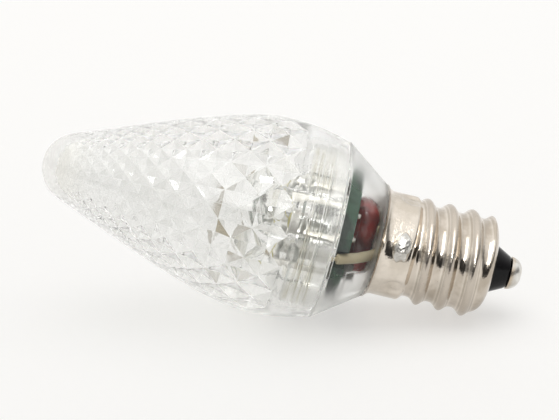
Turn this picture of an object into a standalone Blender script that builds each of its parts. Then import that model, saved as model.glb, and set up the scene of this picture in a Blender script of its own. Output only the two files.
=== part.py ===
# Clear faceted LED bulb with an E12 candelabra screw base, lying on its side.
# Each piece is built about the bulb's own axis: Z runs from the seam between lens and housing (Z = 0)
# towards the contact, X points down to the table and Y away from the viewer. The empty "bulb" then lays
# the whole bulb on the table.

import math

import bmesh
import bpy
from mathutils import Matrix, Vector
from mathutils.geometry import interpolate_bezier

MM = 0.001

# Round forms
SIDES = 36                      # sides of the large turned pieces, with one flat side facing down
SMALL_SIDES = 20                # sides of the small turned pieces
PIN_SIDES = 8
HOLE_SIDES = 10
GAP = 0.3 * MM                  # clearance between neighbouring solids
CUT_MARGIN = 1.0 * MM           # how far a cut runs on past the wall it goes through

# Lens
LENS_LENGTH = 31.6 * MM         # seam to tip
LENS_RADIUS = 10.75 * MM        # at its widest
LENS_WIDEST = -7.0 * MM         # station of the widest place
LENS_RIM_RADIUS = 9.75 * MM     # outside, at the seam
LENS_TIP_RADIUS = 3.8 * MM      # ball at the tip
FLANK_SLOPE = 0.392             # rise of the flank where it leaves the tip's ball
FLANK_PULLS = (0.378, 0.2)      # how long the flank keeps its end directions, as shares of its length
RIM_SLOPE = -0.3                # fall of the shoulder where it meets the seam
RIM_PULL = 1.8 * MM             # how long the shoulder keeps that slope
LENS_WALL = 1.2 * MM
RIM_WALL = 0.7 * MM             # at the seam, around the housing's spigot
TIP_WALL = 2.1 * MM
BAND_LENGTH = 4.4 * MM          # smooth band inside the lens that takes the housing's spigot
BAND_STEP = 0.5 * MM
FACET_MARGIN = 3.1 * MM         # from the last row of facets to the tip
CELLS_ROUND = SIDES // 2        # pyramids in one row
CELL_STRETCH = 1.11             # length of a pyramid over its width
PYRAMID_HEIGHT = 0.55 * MM      # at the widest place; it falls with the lens's radius

# Screw shell
PITCH = 2.54 * MM               # ten threads to the inch
CREST_RADIUS = 5.8 * MM
THREAD_DEPTH = 0.47 * MM
SKIRT_STEP = 0.08 * MM          # how far the skirt lies below the crests
SHELL_WALL = 0.25 * MM
HOUSING_END = 5.2 * MM          # shoulder that the shell's rim lies against
SKIRT_LENGTH = 3.5 * MM
THREAD_RISE = 0.8 * MM          # over which the skirt passes into the thread
CREST_START = 1.4 * MM          # skirt's end to the first crest, at the top of the lying bulb
THREAD_LENGTH = 8.4 * MM
CURL_LENGTH = 1.25 * MM
VALLEY_RADIUS = CREST_RADIUS - THREAD_DEPTH
SKIRT_RADIUS = CREST_RADIUS - SKIRT_STEP
SHELL_HOLE_RADIUS = 0.517 * CREST_RADIUS
SKIRT_END = HOUSING_END + SKIRT_LENGTH
THREAD_START = SKIRT_END + THREAD_RISE
FIRST_CREST = SKIRT_END + CREST_START
THREAD_END = SKIRT_END + THREAD_LENGTH
SHELL_END = THREAD_END + CURL_LENGTH
RIM_FLARE = 0.53 * MM
RIM_LENGTH = 0.85 * MM
DIMPLES = 3
DIMPLE_OFFSET = 0.6 * MM        # from the skirt's end
DIMPLE_STATION = SKIRT_END - DIMPLE_OFFSET
DIMPLE_RADIUS = 1.35 * MM
DIMPLE_DEPTH = 0.3 * MM
FIRST_DIMPLE_TURN = math.radians(-57)
OUTER_ROWS_PER_PITCH = 8
INNER_ROWS_PER_PITCH = 5

# Housing
HOUSING_LIP = 0.1 * MM          # how far it stands out past the shell's flared rim
HOUSING_END_RADIUS = SKIRT_RADIUS + RIM_FLARE + HOUSING_LIP
HOUSING_WALL = 0.85 * MM
HOUSING_CHAMFER = 0.25 * MM
SPIGOT_RADIUS = LENS_RIM_RADIUS - RIM_WALL - GAP
SPIGOT_LENGTH = 0.909 * BAND_LENGTH
SPIGOT_WALL = 0.8 * MM
GROOVE_DEPTH = 0.15 * MM
GROOVE_WIDTH = 0.35 * MM
GROOVES = (-0.725 * SPIGOT_LENGTH, -0.425 * SPIGOT_LENGTH)
SPIGOT_TAPER = 0.9 * MM         # inside, from the spigot's bore out to the cone
RIB_WIDTH = 0.7 * MM            # how far the three board ribs stand in from the wall
RIB_LENGTH = 0.8 * MM
RIB_STEP = 0.05 * MM            # low step between the ribs
RIB_HALF_TURN = math.radians(16)
RIBS = 3
CONE_END = 0.885 * HOUSING_END  # inside, where the cone turns in to the neck's bore
BORE_START = 1.135 * HOUSING_END
NECK_TAPER = 0.6 * MM           # outside, from the skirt's size down to the thread's
NECK_LENGTH = 8.0 * MM
NECK_END = HOUSING_END + NECK_LENGTH
NECK_WALL = 0.75 * MM

# Insulator and contact
INSULATOR_LENGTH = 1.9 * MM     # the part that stands out of the shell
INSULATOR_SMALL_RADIUS = 0.59 * SHELL_HOLE_RADIUS
INSULATOR_BORE = 0.75 * MM
INSULATOR_FLANGE = 1.0 * MM     # thickness inside the shell
INSULATOR_LIP = 0.5 * MM        # how far the flange reaches past the shell's hole before it slopes
INSULATOR_EDGE = 0.1 * MM
CONTACT_RADIUS = 1.017 * INSULATOR_SMALL_RADIUS
CONTACT_HEIGHT = 1.2 * MM
CONTACT_FLAT = 0.6 * MM         # radius of the worn flat on its end
STEM_RADIUS = 0.42 * MM
STEM_LENGTH = 4.2 * MM

# Circuit board
BOARD_FACE = 0.45 * MM          # station of the face that carries the LEDs
BOARD_THICKNESS = 1.6 * MM
PIN_HOLE = 0.58 * MM
NOTCH_WIDTH = 1.9 * MM
NOTCH_DEPTH = 1.7 * MM

# LEDs, sized by the room inside the spigot
LEDS = 3
LED_ROOM = SPIGOT_RADIUS - SPIGOT_WALL
LED_CIRCLE = 0.5535 * LED_ROOM
LED_RADIUS = 0.3145 * LED_ROOM
LED_HEIGHT = 3.44 * LED_RADIUS
LED_FLANGE_RADIUS = 1.16 * LED_RADIUS
LED_FLANGE_HEIGHT = 1.0 * MM
LED_FLAT = 1.048 * LED_RADIUS   # the flange's flat, from the LED's axis
LEAD_WIDTH = 0.2 * LED_RADIUS
LEAD_SPACING = 1.016 * LED_RADIUS
SLOT_WIDTH = 0.44 * LED_RADIUS
SLOT_LENGTH = 1.6 * LED_RADIUS
SLOT_HEIGHT = LED_HEIGHT - 1.16 * LED_RADIUS
CUP_HEIGHT = SLOT_HEIGHT - 3 * GAP      # top of the cathode's cup
CUP_WIDTH = 0.76 * LED_RADIUS
CUP_DEPTH = 0.64 * LED_RADIUS
CUP_SLOPE = 0.16 * LED_RADIUS
PHOSPHOR_RADIUS = 0.208 * LED_RADIUS
PHOSPHOR_HEIGHT = 0.28 * MM
PHOSPHOR_SIDES = 12
FOOT_INSET = 0.05 * MM          # from the end of a lead to the board's back

# Parts on the board
CAPACITOR_THICKNESS = 2.7 * MM
CAPACITOR_MARGIN = 0.75 * MM    # from its far end to the housing's wall behind it
CAPACITOR_ROUND = 0.55 * MM
PIN_RADIUS = 0.25 * MM
JOINT_RADIUS = 0.45 * MM
JOINT_HEIGHT = 0.5 * MM
CHIP_CIRCLE = 1.193 * LED_CIRCLE
DIODE_SIZE = (2.0 * MM, 1.3 * MM, 0.95 * MM)
RESISTOR_SIZE = (0.59 * LED_CIRCLE, 0.318 * LED_CIRCLE, 0.55 * MM)
SHIFTED_DIODE = 0.93            # one diode sits a little nearer to the first LED, clear of the wire

# Wires
WIRE_RADIUS = 0.56 * MM
STRAND_RADIUS = 0.22 * MM
STRIP_LENGTH = 0.25 * MM        # over which the insulation ends
WIRE_CLEARANCE = 1.3            # gap to the cone, as a share of the wire's radius and clearance
WIRE_TURN = math.radians(-86)   # where the shell's wire passes the board
NECK_WIRE_TURN = math.radians(-96)
CONE_WIRE_LENGTH = 1.1 * MM     # straight run along the cone behind the board
NECK_WIRE_BEND = 0.73           # share of the cone's wire radius kept where the neck starts
NECK_WIRE_START = 1.096 * HOUSING_END
NECK_WIRE_END = 1.212 * HOUSING_END
PAD_REACH = 1.3 * MM            # from the notch in to the wire's pad
PAD_TURN = 0.1
CENTRE_WIRE_BENDS = ((0.3 * MM, 1.8 * MM, 2.2 * MM), (0.6 * MM, -0.5 * MM, 5.5 * MM))
CENTRE_WIRE_TAIL = 1.4 * MM     # straight run before the contact's stem
SOLDER_OFFSET = 1.0 * MM        # from the skirt's end
SOLDER_STATION = SKIRT_END - SOLDER_OFFSET
SOLDER_TURN = math.radians(-108.7)
SOLDER_LENGTH = 1.7 * MM        # along the bulb
SOLDER_WIDTH = 2.7 * MM         # around the bulb
SOLDER_HEIGHT = 0.75 * MM
SOLDER_HOLE = 0.6 * MM
SOLDER_STEM = 0.32 * MM

# Colours: base colour, roughness, metallic, transmission
MATERIALS = {
    "clear_plastic": ((0.93, 0.94, 0.92), 0.05, 0.0, 1.0),
    "board_green": ((0.05, 0.17, 0.11), 0.45, 0.0, 0.0),
    "brick_red": ((0.29, 0.05, 0.04), 0.25, 0.0, 0.0),
    "cream_plastic": ((0.72, 0.68, 0.52), 0.4, 0.0, 0.0),
    "nickel": ((0.66, 0.61, 0.54), 0.22, 1.0, 0.0),
    "solder": ((0.72, 0.72, 0.70), 0.25, 1.0, 0.0),
    "black_plastic": ((0.012, 0.011, 0.012), 0.2, 0.0, 0.0),
    "chip_black": ((0.02, 0.02, 0.022), 0.5, 0.0, 0.0),
    "tin": ((0.62, 0.62, 0.60), 0.3, 1.0, 0.0),
    "phosphor_yellow": ((0.85, 0.72, 0.10), 0.6, 0.0, 0.0),
}


def clear_scene():
    for item in list(bpy.data.objects):
        bpy.data.objects.remove(item, do_unlink=True)


def make_material(name):
    colour, roughness, metallic, transmission = MATERIALS[name]
    material = bpy.data.materials.new(name)
    material.use_nodes = True
    shader = material.node_tree.nodes["Principled BSDF"]
    shader.inputs["Base Color"].default_value = (*colour, 1.0)
    shader.inputs["Roughness"].default_value = roughness
    shader.inputs["Metallic"].default_value = metallic
    shader.inputs["Transmission Weight"].default_value = transmission
    material.diffuse_color = (*colour, 1.0)
    return material


def add_object(name, mesh, material, bulb, location=(0, 0, 0), rotation=(0, 0, 0)):
    piece = bpy.data.objects.new(name, mesh)
    bpy.context.collection.objects.link(piece)
    piece.parent = bulb
    piece.location = location
    piece.rotation_euler = rotation
    if not mesh.materials:
        mesh.materials.append(make_material(material))
    return piece


def finish_mesh(name, shape, sharp_degrees=32):
    bmesh.ops.recalc_face_normals(shape, faces=shape.faces)
    mesh = bpy.data.meshes.new(name)
    shape.to_mesh(mesh)
    shape.free()
    mesh.shade_smooth()
    mesh.set_sharp_from_angle(angle=math.radians(sharp_degrees))
    return mesh


def turn_point(radius, turn, station):
    # turn 0 faces down, a quarter turn faces away from the viewer
    return Vector((radius * math.cos(turn), radius * math.sin(turn), station))


def side_turn(index, sides):
    # half a side on, so that the middle of a flat side faces down
    return 2 * math.pi * (index + 0.5) / sides


def add_ring(shape, radius, station, sides):
    if radius < 1e-7:
        return [shape.verts.new((0, 0, station))]
    return [shape.verts.new(turn_point(radius, side_turn(i, sides), station)) for i in range(sides)]


def join_rings(shape, first, second):
    count = max(len(first), len(second))
    for i in range(count):
        j = (i + 1) % count
        if len(first) == 1:
            shape.faces.new((first[0], second[i], second[j]))
        elif len(second) == 1:
            shape.faces.new((first[i], first[j], second[0]))
        else:
            shape.faces.new((first[i], first[j], second[j], second[i]))


def turned_mesh(name, outline, sides=SIDES, closed=False):
    # outline: (station, radius) pairs; an end off the axis gets a flat face, unless the section
    # closes round a bore
    shape = bmesh.new()
    rings = [add_ring(shape, radius, station, sides) for station, radius in outline]
    for first, second in zip(rings, rings[1:]):
        join_rings(shape, first, second)
    if closed:
        join_rings(shape, rings[-1], rings[0])
    else:
        for ring in (rings[0], rings[-1]):
            if len(ring) > 1:
                shape.faces.new(ring)
    return finish_mesh(name, shape)


def curve_points(start, start_handle, end_handle, end, count):
    points = interpolate_bezier(Vector(start), Vector(start_handle), Vector(end_handle), Vector(end), count)
    return [(point.x, point.y) for point in points]


def lens_outline():
    # ball at the tip, long flank, short round shoulder down to the seam
    ball_centre = -LENS_LENGTH + LENS_TIP_RADIUS
    ball_end = math.atan2(1, FLANK_SLOPE)
    ball_steps = 6
    ball = [
        (ball_centre - LENS_TIP_RADIUS * math.cos(ball_end * i / ball_steps),
         LENS_TIP_RADIUS * math.sin(ball_end * i / ball_steps))
        for i in range(ball_steps + 1)
    ]
    start_station, start_radius = ball[-1]
    first_pull, second_pull = (pull * (LENS_WIDEST - start_station) for pull in FLANK_PULLS)
    flank = curve_points(
        (start_station, start_radius),
        (start_station + first_pull, start_radius + first_pull * FLANK_SLOPE),
        (LENS_WIDEST - second_pull, LENS_RADIUS),
        (LENS_WIDEST, LENS_RADIUS),
        12,
    )
    shoulder = curve_points(
        (LENS_WIDEST, LENS_RADIUS),
        (LENS_WIDEST / 2, LENS_RADIUS),
        (-RIM_PULL, LENS_RIM_RADIUS - RIM_PULL * RIM_SLOPE),
        (0, LENS_RIM_RADIUS),
        7,
    )
    return ball + flank[1:] + shoulder[1:]


def radius_at(outline, station):
    for (s1, r1), (s2, r2) in zip(outline, outline[1:]):
        if s1 <= station <= s2:
            return r1 + (r2 - r1) * (station - s1) / (s2 - s1)
    return outline[-1][1]


def facet_rows(outline):
    # stations of the lattice rows, each half a pyramid apart, from the band to the tip
    station = -(BAND_LENGTH + BAND_STEP)
    rows = []
    while station > FACET_MARGIN - LENS_LENGTH:
        radius = radius_at(outline, station) - LENS_WALL
        rows.append((station, radius))
        station -= CELL_STRETCH * math.pi * radius / CELLS_ROUND
    return rows


def build_lens(bulb):
    outline = lens_outline()
    shape = bmesh.new()
    outer = [add_ring(shape, radius, station, SIDES) for station, radius in outline]
    for first, second in zip(outer, outer[1:]):
        join_rings(shape, first, second)

    band_radius = SPIGOT_RADIUS + GAP
    band_mouth = add_ring(shape, band_radius, 0, SIDES)
    band_end = add_ring(shape, band_radius, -BAND_LENGTH, SIDES)
    join_rings(shape, outer[-1], band_mouth)
    join_rings(shape, band_mouth, band_end)

    rows = facet_rows(outline)
    last = len(rows) - 1
    lattice = []
    for row, (station, radius) in enumerate(rows):
        whole_ring = row in (0, last)
        lattice.append([
            shape.verts.new(turn_point(radius, side_turn(i, SIDES), station))
            if whole_ring or i % 2 == row % 2 else None
            for i in range(SIDES)
        ])
    join_rings(shape, band_end, lattice[0])

    for row in range(last + 1):
        station, radius = rows[row]
        for i in range(SIDES):
            if i % 2 == row % 2:
                continue
            left = lattice[row][i - 1]
            right = lattice[row][(i + 1) % SIDES]
            if row in (0, last):
                middle = lattice[row][i]
                inward = lattice[1][i] if row == 0 else lattice[last - 1][i]
                shape.faces.new((left, middle, inward))
                shape.faces.new((middle, right, inward))
                continue
            peak = shape.verts.new(turn_point(radius - PYRAMID_HEIGHT * radius / LENS_RADIUS,
                                              side_turn(i, SIDES), station))
            above = lattice[row - 1][i]
            below = lattice[row + 1][i]
            for first, second in ((left, above), (above, right), (right, below), (below, left)):
                shape.faces.new((first, second, peak))

    # round bottom of the hollow, under the thick tip
    end_station, end_radius = rows[last]
    hollow_depth = (LENS_LENGTH - TIP_WALL) + end_station
    previous = lattice[last]
    for step in range(1, 4):
        angle = math.radians(30 * step)
        radius = end_radius * math.cos(angle) if step < 3 else 0
        ring = add_ring(shape, radius, end_station - hollow_depth * math.sin(angle), SIDES)
        join_rings(shape, previous, ring)
        previous = ring
    return add_object("lens", finish_mesh("lens", shape, 12), "clear_plastic", bulb)


def cone_fall():
    return (LENS_RIM_RADIUS - HOUSING_END_RADIUS) / (HOUSING_END - GAP)


def cone_radius(station):
    # outside of the housing's cone
    return LENS_RIM_RADIUS - cone_fall() * (station - GAP)


def inner_cone_radius(station):
    return cone_radius(station) - HOUSING_WALL * math.hypot(1, cone_fall())


def board_back():
    return BOARD_FACE + BOARD_THICKNESS


def rib_station():
    return board_back() + GAP


def board_radius():
    return inner_cone_radius(board_back()) - GAP


def neck_radii():
    # outside of the neck under the skirt and under the thread, and its bore
    wide = SKIRT_RADIUS - SHELL_WALL - GAP
    narrow = VALLEY_RADIUS - SHELL_WALL - GAP
    return wide, narrow, narrow - NECK_WALL


def housing_room(station):
    # radius inside the housing behind the board
    bore = neck_radii()[2]
    return radius_at([(0, inner_cone_radius(0)), (CONE_END, inner_cone_radius(CONE_END)), (BORE_START, bore)],
                     station)


def build_housing(bulb):
    wide, narrow, bore = neck_radii()
    rib = rib_station()
    rib_end = rib + RIB_LENGTH
    cone_start = GAP + SPIGOT_TAPER
    chamfer = HOUSING_CHAMFER
    spigot = [(-SPIGOT_LENGTH, LED_ROOM), (-SPIGOT_LENGTH, SPIGOT_RADIUS - chamfer),
              (-SPIGOT_LENGTH + chamfer, SPIGOT_RADIUS)]
    for groove in GROOVES:
        spigot += [
            (groove - GROOVE_WIDTH / 2, SPIGOT_RADIUS),
            (groove - GROOVE_WIDTH / 4, SPIGOT_RADIUS - GROOVE_DEPTH),
            (groove + GROOVE_WIDTH / 4, SPIGOT_RADIUS - GROOVE_DEPTH),
            (groove + GROOVE_WIDTH / 2, SPIGOT_RADIUS),
        ]
    cone = [(GAP, SPIGOT_RADIUS), (GAP, LENS_RIM_RADIUS),
            (HOUSING_END - chamfer, cone_radius(HOUSING_END - chamfer)),
            (HOUSING_END, HOUSING_END_RADIUS - chamfer)]
    neck = [(HOUSING_END, wide), (SKIRT_END, wide), (SKIRT_END + NECK_TAPER, narrow), (NECK_END, narrow)]
    inside = [
        (NECK_END, bore),
        (BORE_START, bore),
        (CONE_END, inner_cone_radius(CONE_END)),
        (rib_end, inner_cone_radius(rib_end) - RIB_STEP),
        (rib, inner_cone_radius(rib) - RIB_STEP),
        (rib, inner_cone_radius(rib)),
        (cone_start, inner_cone_radius(cone_start)),
        (GAP, LED_ROOM),
    ]
    mesh = turned_mesh("housing", spigot + cone + neck + inside, closed=True)
    raise_ribs(mesh, rib, rib_end)
    housing = add_object("housing", mesh, "clear_plastic", bulb)
    cut_hole(housing, "neck_hole_cutter", SOLDER_HOLE, SOLDER_STATION, SOLDER_TURN, bore - GAP, wide + GAP,
             bulb)
    return housing


def raise_ribs(mesh, rib, rib_end):
    # the low step inside the cone grows into three ribs that carry the board
    for vertex in mesh.vertices:
        station = min((rib, rib_end), key=lambda value: abs(value - vertex.co.z))
        step_radius = inner_cone_radius(station) - RIB_STEP
        radius = math.hypot(vertex.co.x, vertex.co.y)
        if abs(vertex.co.z - station) > 1e-6 or abs(radius - step_radius) > 1e-6:
            continue
        turn = math.atan2(vertex.co.y, vertex.co.x)
        nearest = math.remainder(turn - math.pi / RIBS, 2 * math.pi / RIBS)
        if abs(nearest) < RIB_HALF_TURN:
            vertex.co *= Vector(((step_radius - RIB_WIDTH) / radius,) * 2 + (1,))


def cut_hole(target, name, radius, station, turn, start, end, bulb):
    # round hole through a wall, square to the bulb's axis
    cutter = pin_object(name, radius, start, end, bulb, sides=HOLE_SIDES)
    direction = turn_point(1, turn, 0)
    cutter.rotation_euler = direction.to_track_quat("Z", "Y").to_euler()
    cutter.location = (0, 0, station)
    subtract(target, cutter)


def subtract(target, cutter):
    cutter.hide_render = True
    cutter.display_type = "WIRE"
    cut = target.modifiers.new(cutter.name, "BOOLEAN")
    cut.operation = "DIFFERENCE"
    cut.solver = "EXACT"
    cut.object = cutter


def pin_object(name, radius, start, end, bulb, material="tin", sides=PIN_SIDES, location=(0, 0, 0)):
    mesh = turned_mesh(name, [(start, radius), (end, radius)], sides)
    return add_object(name, mesh, material, bulb, location)


def box_mesh(name, low, high):
    shape = bmesh.new()
    bmesh.ops.create_cube(shape, size=1)
    low, high = Vector(low), Vector(high)
    size = high - low
    bmesh.ops.transform(shape, matrix=Matrix.Translation((low + high) / 2) @ Matrix.Diagonal((*size, 1)),
                        verts=shape.verts)
    return finish_mesh(name, shape)


def smooth_step(low, high, value):
    t = min(max((value - low) / (high - low), 0), 1)
    return t * t * (3 - 2 * t)


def shell_radius(station, turn):
    # outside of the shell: plain skirt, rolled right-hand thread, crimp dimples
    phase = (station - FIRST_CREST) / PITCH - (turn - math.pi) / (2 * math.pi)
    middle, height = (CREST_RADIUS + VALLEY_RADIUS) / 2, (CREST_RADIUS - VALLEY_RADIUS) / 2
    thread = middle + height * math.cos(2 * math.pi * phase)
    radius = SKIRT_RADIUS + (thread - SKIRT_RADIUS) * smooth_step(SKIRT_END, THREAD_START, station)
    for number in range(DIMPLES):
        centre = FIRST_DIMPLE_TURN + 2 * math.pi * number / DIMPLES
        away = math.remainder(turn - centre, 2 * math.pi) * SKIRT_RADIUS
        distance = math.hypot(away, station - DIMPLE_STATION) / DIMPLE_RADIUS
        if distance < 1:
            radius -= DIMPLE_DEPTH * (1 - distance ** 2) ** 2
    return radius


def shell_rows(rows_per_pitch, inset):
    # each row is a function of turn that gives (station, radius); inset 0 is the outside
    start = HOUSING_END + GAP
    rows = []
    rim_steps = 4
    for step in range(rim_steps):
        along = step / rim_steps
        flare = RIM_FLARE * (1 - along) ** 2
        rows.append((start + RIM_LENGTH * along, flare))
    skirt_steps = 5
    for step in range(skirt_steps + 1):
        rows.append((start + RIM_LENGTH + (SKIRT_END - start - RIM_LENGTH) * step / skirt_steps, 0))
    thread_steps = round((THREAD_END - SKIRT_END) / PITCH * rows_per_pitch)
    for step in range(1, thread_steps + 1):
        rows.append((SKIRT_END + (THREAD_END - SKIRT_END) * step / thread_steps, 0))
    return [
        [(station, shell_radius(station, side_turn(i, SIDES)) + flare - inset) for i in range(SIDES)]
        for station, flare in rows
    ]


def shell_curl(inset, steps=5):
    # the shell's end curls in to the hole that holds the insulator
    rows = []
    for step in range(1, steps + 1):
        angle = math.pi / 2 * step / steps
        row = []
        for i in range(SIDES):
            wide = shell_radius(THREAD_END, side_turn(i, SIDES)) - inset
            radius = SHELL_HOLE_RADIUS + (wide - SHELL_HOLE_RADIUS) * math.cos(angle)
            station = THREAD_END + (SHELL_END - THREAD_END - inset) * math.sin(angle)
            row.append((station, radius))
        rows.append(row)
    return rows


def build_screw_shell(bulb):
    shape = bmesh.new()
    outer = shell_rows(OUTER_ROWS_PER_PITCH, 0) + shell_curl(0)
    inner = shell_rows(INNER_ROWS_PER_PITCH, SHELL_WALL) + shell_curl(SHELL_WALL)
    rings = [
        [shape.verts.new(turn_point(radius, side_turn(i, SIDES), station))
         for i, (station, radius) in enumerate(row)]
        for row in outer + inner[::-1]
    ]
    for first, second in zip(rings, rings[1:] + rings[:1]):
        join_rings(shape, first, second)
    shell = add_object("screw_shell", finish_mesh("screw_shell", shape, 40), "nickel", bulb)
    cut_hole(shell, "shell_hole_cutter", SOLDER_HOLE, SOLDER_STATION, SOLDER_TURN,
             SKIRT_RADIUS - CUT_MARGIN, SKIRT_RADIUS + CUT_MARGIN, bulb)
    return shell


def build_side_solder(bulb):
    # oval blob on the skirt, with a short stem in the wire's hole
    sides, steps = 12, 3
    shape = bmesh.new()
    base = SKIRT_RADIUS + GAP
    stem_start = SKIRT_RADIUS - SHELL_WALL
    rings = [add_ring(shape, 0, stem_start, sides), add_ring(shape, SOLDER_STEM, stem_start, sides),
             add_ring(shape, SOLDER_STEM, base, sides)]
    for step in range(steps + 1):
        angle = math.pi / 2 * step / steps
        if step == steps:
            rings.append([shape.verts.new((0, 0, base + SOLDER_HEIGHT))])
            continue
        ring = []
        for i in range(sides):
            turn = side_turn(i, sides)
            along = SOLDER_LENGTH / 2 * math.cos(angle) * math.cos(turn)
            across = SOLDER_WIDTH / 2 * math.cos(angle) * math.sin(turn)
            sag = across ** 2 / (2 * SKIRT_RADIUS)
            ring.append(shape.verts.new((along, across, base + SOLDER_HEIGHT * math.sin(angle) - sag)))
        rings.append(ring)
    for first, second in zip(rings, rings[1:]):
        join_rings(shape, first, second)
    solder = add_object("side_solder", finish_mesh("side_solder", shape, 50), "solder", bulb)
    outward = turn_point(1, SOLDER_TURN, 0)
    along = Vector((0, 0, 1))
    across = outward.cross(along)
    turned = Matrix((along, across, outward)).transposed()
    solder.rotation_euler = turned.to_euler()
    solder.location = (0, 0, SOLDER_STATION)
    return solder


def build_insulator(bulb):
    wide = SHELL_HOLE_RADIUS - GAP
    inside = SHELL_END - SHELL_WALL - GAP
    flange_radius = VALLEY_RADIUS - SHELL_WALL - 4 * GAP
    end = SHELL_END + INSULATOR_LENGTH
    outline = [
        (inside - INSULATOR_FLANGE, INSULATOR_BORE),
        (inside - INSULATOR_FLANGE, flange_radius),
        (inside - INSULATOR_FLANGE / 2, flange_radius),
        (inside, wide + INSULATOR_LIP),
        (inside, wide),
        (SHELL_END + INSULATOR_EDGE, wide),
        (end - INSULATOR_EDGE, INSULATOR_SMALL_RADIUS + INSULATOR_EDGE / 2),
        (end, INSULATOR_SMALL_RADIUS - INSULATOR_EDGE / 2),
        (end, INSULATOR_BORE),
    ]
    mesh = turned_mesh("insulator", outline, closed=True)
    return add_object("insulator", mesh, "black_plastic", bulb)


def contact_end():
    return SHELL_END + INSULATOR_LENGTH + GAP + CONTACT_HEIGHT


def build_contact(bulb):
    base = contact_end() - CONTACT_HEIGHT
    outline = [(base - STEM_LENGTH, STEM_RADIUS), (base, STEM_RADIUS)]
    steps = 5
    for step in range(steps):
        angle = math.pi / 2 * step / steps
        radius = CONTACT_FLAT + (CONTACT_RADIUS - CONTACT_FLAT) * math.cos(angle)
        outline.append((base + CONTACT_HEIGHT * math.sin(angle), radius))
    outline.append((contact_end(), CONTACT_FLAT))
    mesh = turned_mesh("contact_tip", outline, SMALL_SIDES)
    return add_object("contact_tip", mesh, "solder", bulb)


def led_turn(number):
    return 2 * math.pi * number / LEDS


def led_lead_places(number):
    # where the two leads of an LED go through the board
    turn = led_turn(number)
    middle = turn_point(LED_CIRCLE, turn, 0)
    along = turn_point(LEAD_SPACING / 2, turn + math.pi / 2, 0)
    return middle - along, middle + along


def build_board(bulb):
    radius = board_radius()
    mesh = turned_mesh("circuit_board", [(BOARD_FACE, radius), (board_back(), radius)])
    board = add_object("circuit_board", mesh, "board_green", bulb)
    through = (BOARD_FACE - CUT_MARGIN, board_back() + CUT_MARGIN)
    holes = [place for number in range(LEDS) for place in led_lead_places(number)]
    holes += [*capacitor_pin_places(), centre_wire_place()]
    for number, place in enumerate(holes, 1):
        cutter = pin_object(f"board_cutter_{number}", PIN_HOLE, *through, bulb, sides=HOLE_SIDES,
                            location=place)
        subtract(board, cutter)
    notch_floor = radius - NOTCH_DEPTH
    notch = add_object("board_notch_cutter",
                       box_mesh("board_notch_cutter", (notch_floor, -NOTCH_WIDTH / 2, through[0]),
                                (radius + CUT_MARGIN, NOTCH_WIDTH / 2, through[1])),
                       "tin", bulb, rotation=(0, 0, WIRE_TURN))
    subtract(board, notch)
    return board


def led_body_mesh():
    # built upwards from the board: flange with its flat, barrel and dome
    dome_centre = LED_HEIGHT - LED_RADIUS
    outline = [(0, LED_FLANGE_RADIUS), (LED_FLANGE_HEIGHT, LED_FLANGE_RADIUS),
               (LED_FLANGE_HEIGHT, LED_RADIUS), (dome_centre, LED_RADIUS)]
    steps = 5
    for step in range(1, steps + 1):
        angle = math.pi / 2 * step / steps
        radius = LED_RADIUS * math.cos(angle) if step < steps else 0
        outline.append((dome_centre + LED_RADIUS * math.sin(angle), radius))
    mesh = turned_mesh("led_body", outline, SMALL_SIDES)
    for vertex in mesh.vertices:
        vertex.co.y = max(vertex.co.y, -LED_FLAT)
    return mesh


def plate_mesh(name, corners, thickness):
    # flat lead-frame piece: corners are (across, up) pairs, thickness is along X
    shape = bmesh.new()
    front = [shape.verts.new((-thickness / 2, across, up)) for across, up in corners]
    back = [shape.verts.new((thickness / 2, across, up)) for across, up in corners]
    shape.faces.new(front)
    shape.faces.new(back[::-1])
    for i in range(len(corners)):
        j = (i + 1) % len(corners)
        shape.faces.new((front[j], front[i], back[i], back[j]))
    return finish_mesh(name, shape)


def joint_mesh():
    outline = [(0, JOINT_RADIUS), (0.3 * JOINT_HEIGHT, 0.9 * JOINT_RADIUS),
               (0.8 * JOINT_HEIGHT, 0.45 * JOINT_RADIUS), (JOINT_HEIGHT, 0)]
    return turned_mesh("solder_joint", outline, PIN_SIDES)


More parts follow.
